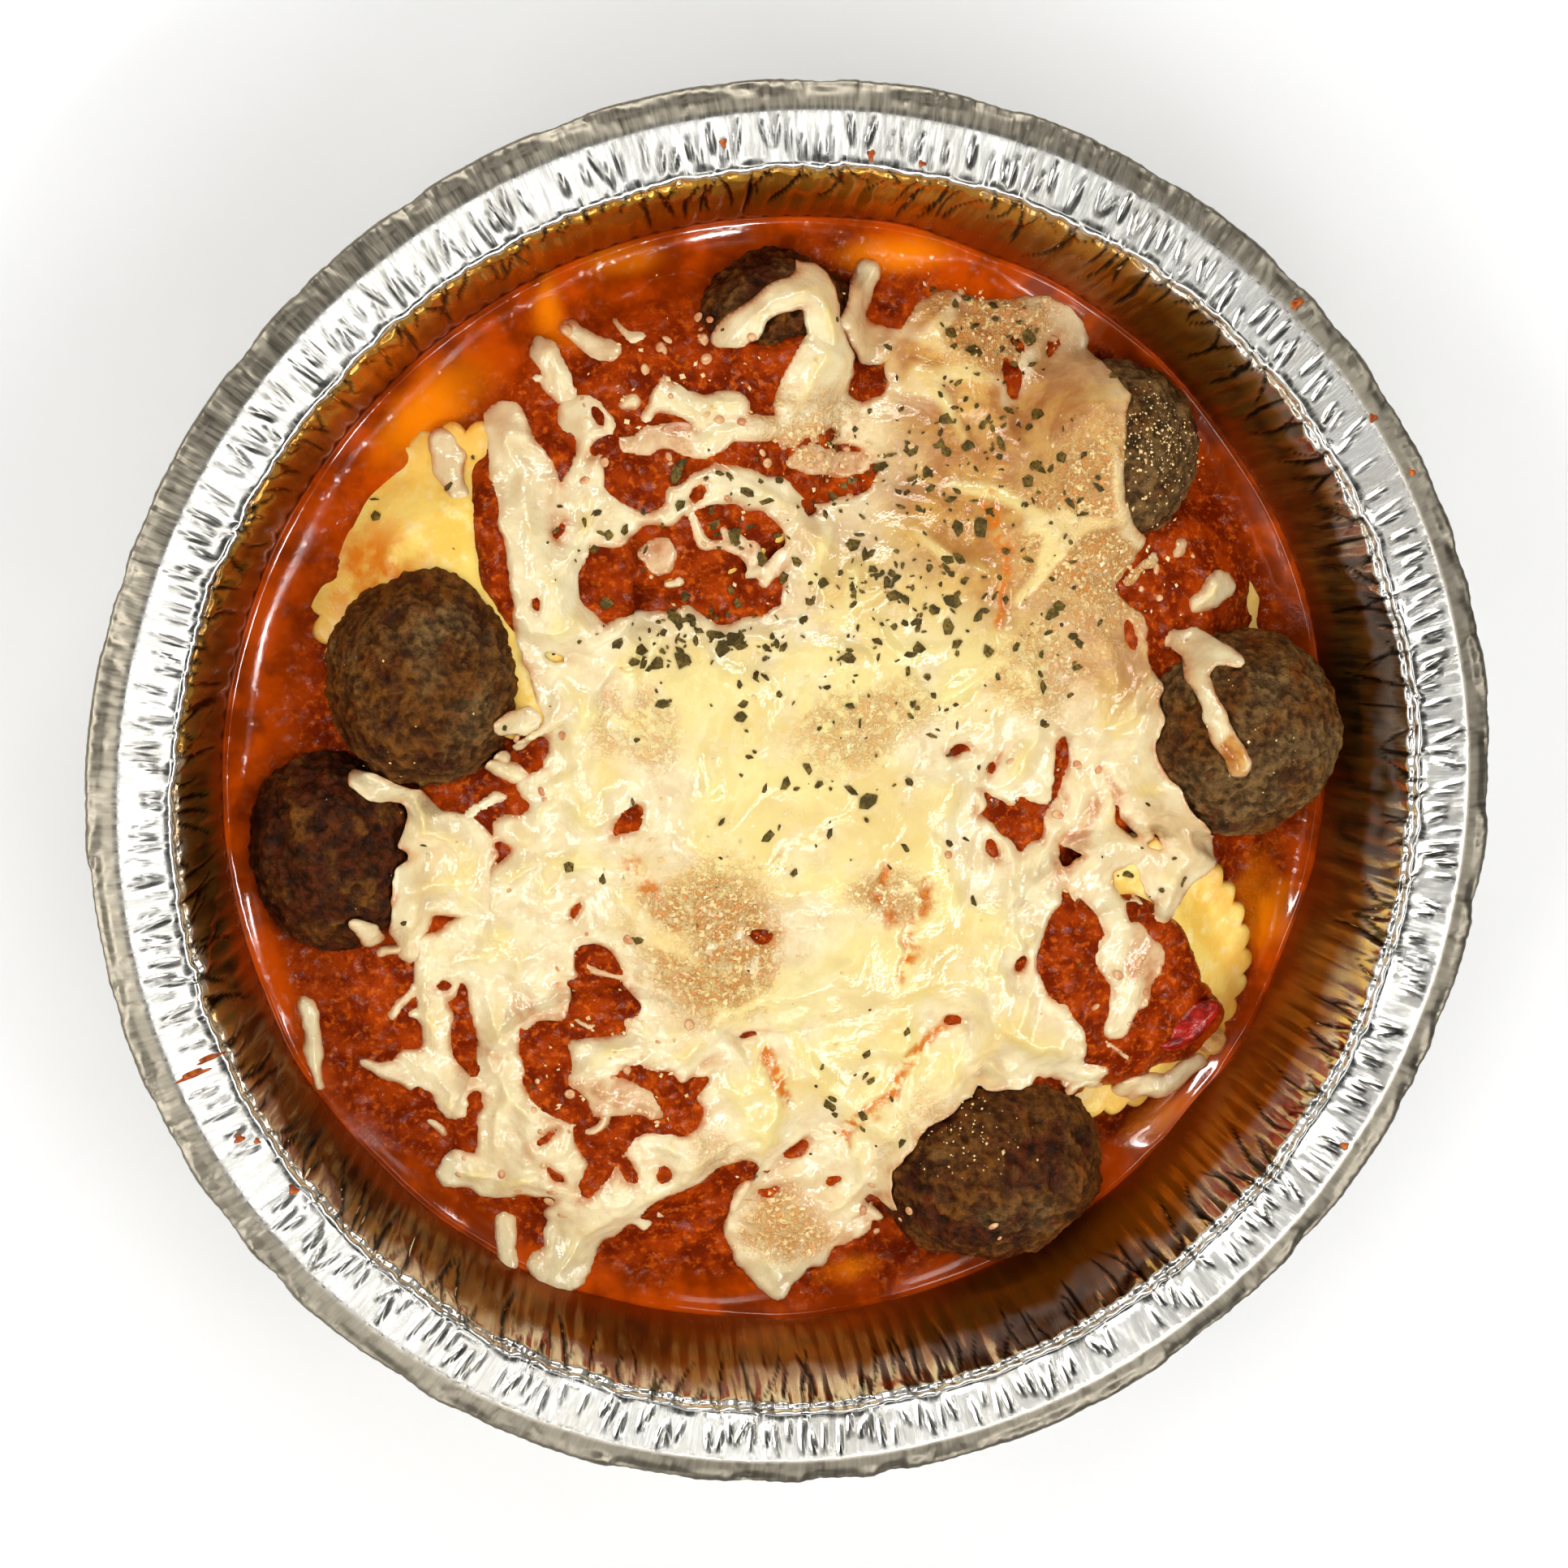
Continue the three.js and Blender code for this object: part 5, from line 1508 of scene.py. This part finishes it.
def build_lights():
    for k in range(RING_LAMPS):
        turn = 2 * math.pi * k / RING_LAMPS
        x = RING_CENTRE[0] + RING_RADIUS * math.cos(turn)
        y = RING_CENTRE[1] + RING_RADIUS * math.sin(turn)
        power = RING_POWER * (0.9 - 0.62 * math.cos(turn) + 0.2 * math.sin(turn))
        lamp = area_light(f"ring_{k}", (x, y, RING_CENTRE[2]), (x, y, 0), RING_LAMP_SIZE, power)
        lamp.rotation_mode = "XYZ"
        lamp.rotation_euler = (0, 0, turn)
    for name, (place, size, power) in TUBES.items():
        area_light(name, place, TUBE_TARGET, size, power)


def build_world():
    """A grey room that is dark overhead and brighter on the left"""
    world = bpy.data.worlds.new("studio")
    world.use_nodes = True
    tree = world.node_tree
    background = tree.nodes["Background"]
    place = tree.nodes.new("ShaderNodeTexCoord")
    parts = tree.nodes.new("ShaderNodeSeparateXYZ")
    tree.links.new(place.outputs["Generated"], parts.inputs[0])
    overhead = tree.nodes.new("ShaderNodeMapRange")
    sideways = tree.nodes.new("ShaderNodeMapRange")
    for made, source, values in (
        (overhead, "Z", (0.6, 0.9, 1.0, 0.1)), (sideways, "X", (-0.8, 0.5, 0.42, 0.17)),
    ):
        tree.links.new(parts.outputs[source], made.inputs["Value"])
        for key, value in zip(("From Min", "From Max", "To Min", "To Max"), values):
            made.inputs[key].default_value = value
    strength = tree.nodes.new("ShaderNodeMath")
    strength.operation = "MULTIPLY"
    tree.links.new(overhead.outputs["Result"], strength.inputs[0])
    tree.links.new(sideways.outputs["Result"], strength.inputs[1])
    background.inputs["Color"].default_value = (1.0, 0.98, 0.94, 1)
    tree.links.new(strength.outputs[0], background.inputs["Strength"])
    bpy.context.scene.world = world


# The camera looks straight down but for a lean towards the upper left, as in the photograph
CAMERA_LEAN = math.radians(13.5)
CAMERA_TOWARDS = math.radians(134)
CAMERA_DISTANCE = 0.4
CAMERA_TARGET = Vector((-0.00613, 0.00528, 0.044))
CAMERA_LENS = 57.42


def build_camera():
    back = Vector((
        math.sin(CAMERA_LEAN) * math.cos(CAMERA_TOWARDS),
        math.sin(CAMERA_LEAN) * math.sin(CAMERA_TOWARDS),
        math.cos(CAMERA_LEAN),
    ))
    right = Vector((0, 1, 0)).cross(back).normalized()
    up = back.cross(right)
    data = bpy.data.cameras.new("camera")
    data.lens = CAMERA_LENS
    data.sensor_width = 36
    data.clip_start = 0.01
    camera = bpy.data.objects.new("camera", data)
    turn = Matrix((right, up, back)).transposed().to_4x4()
    camera.matrix_world = Matrix.Translation(CAMERA_TARGET + back * CAMERA_DISTANCE) @ turn
    bpy.context.scene.collection.objects.link(camera)
    bpy.context.scene.camera = camera


build_floor()
build_world()
build_lights()
build_camera()
bpy.context.scene.view_settings.view_transform = "Standard"
bpy.context.scene.view_settings.look = "Medium High Contrast"
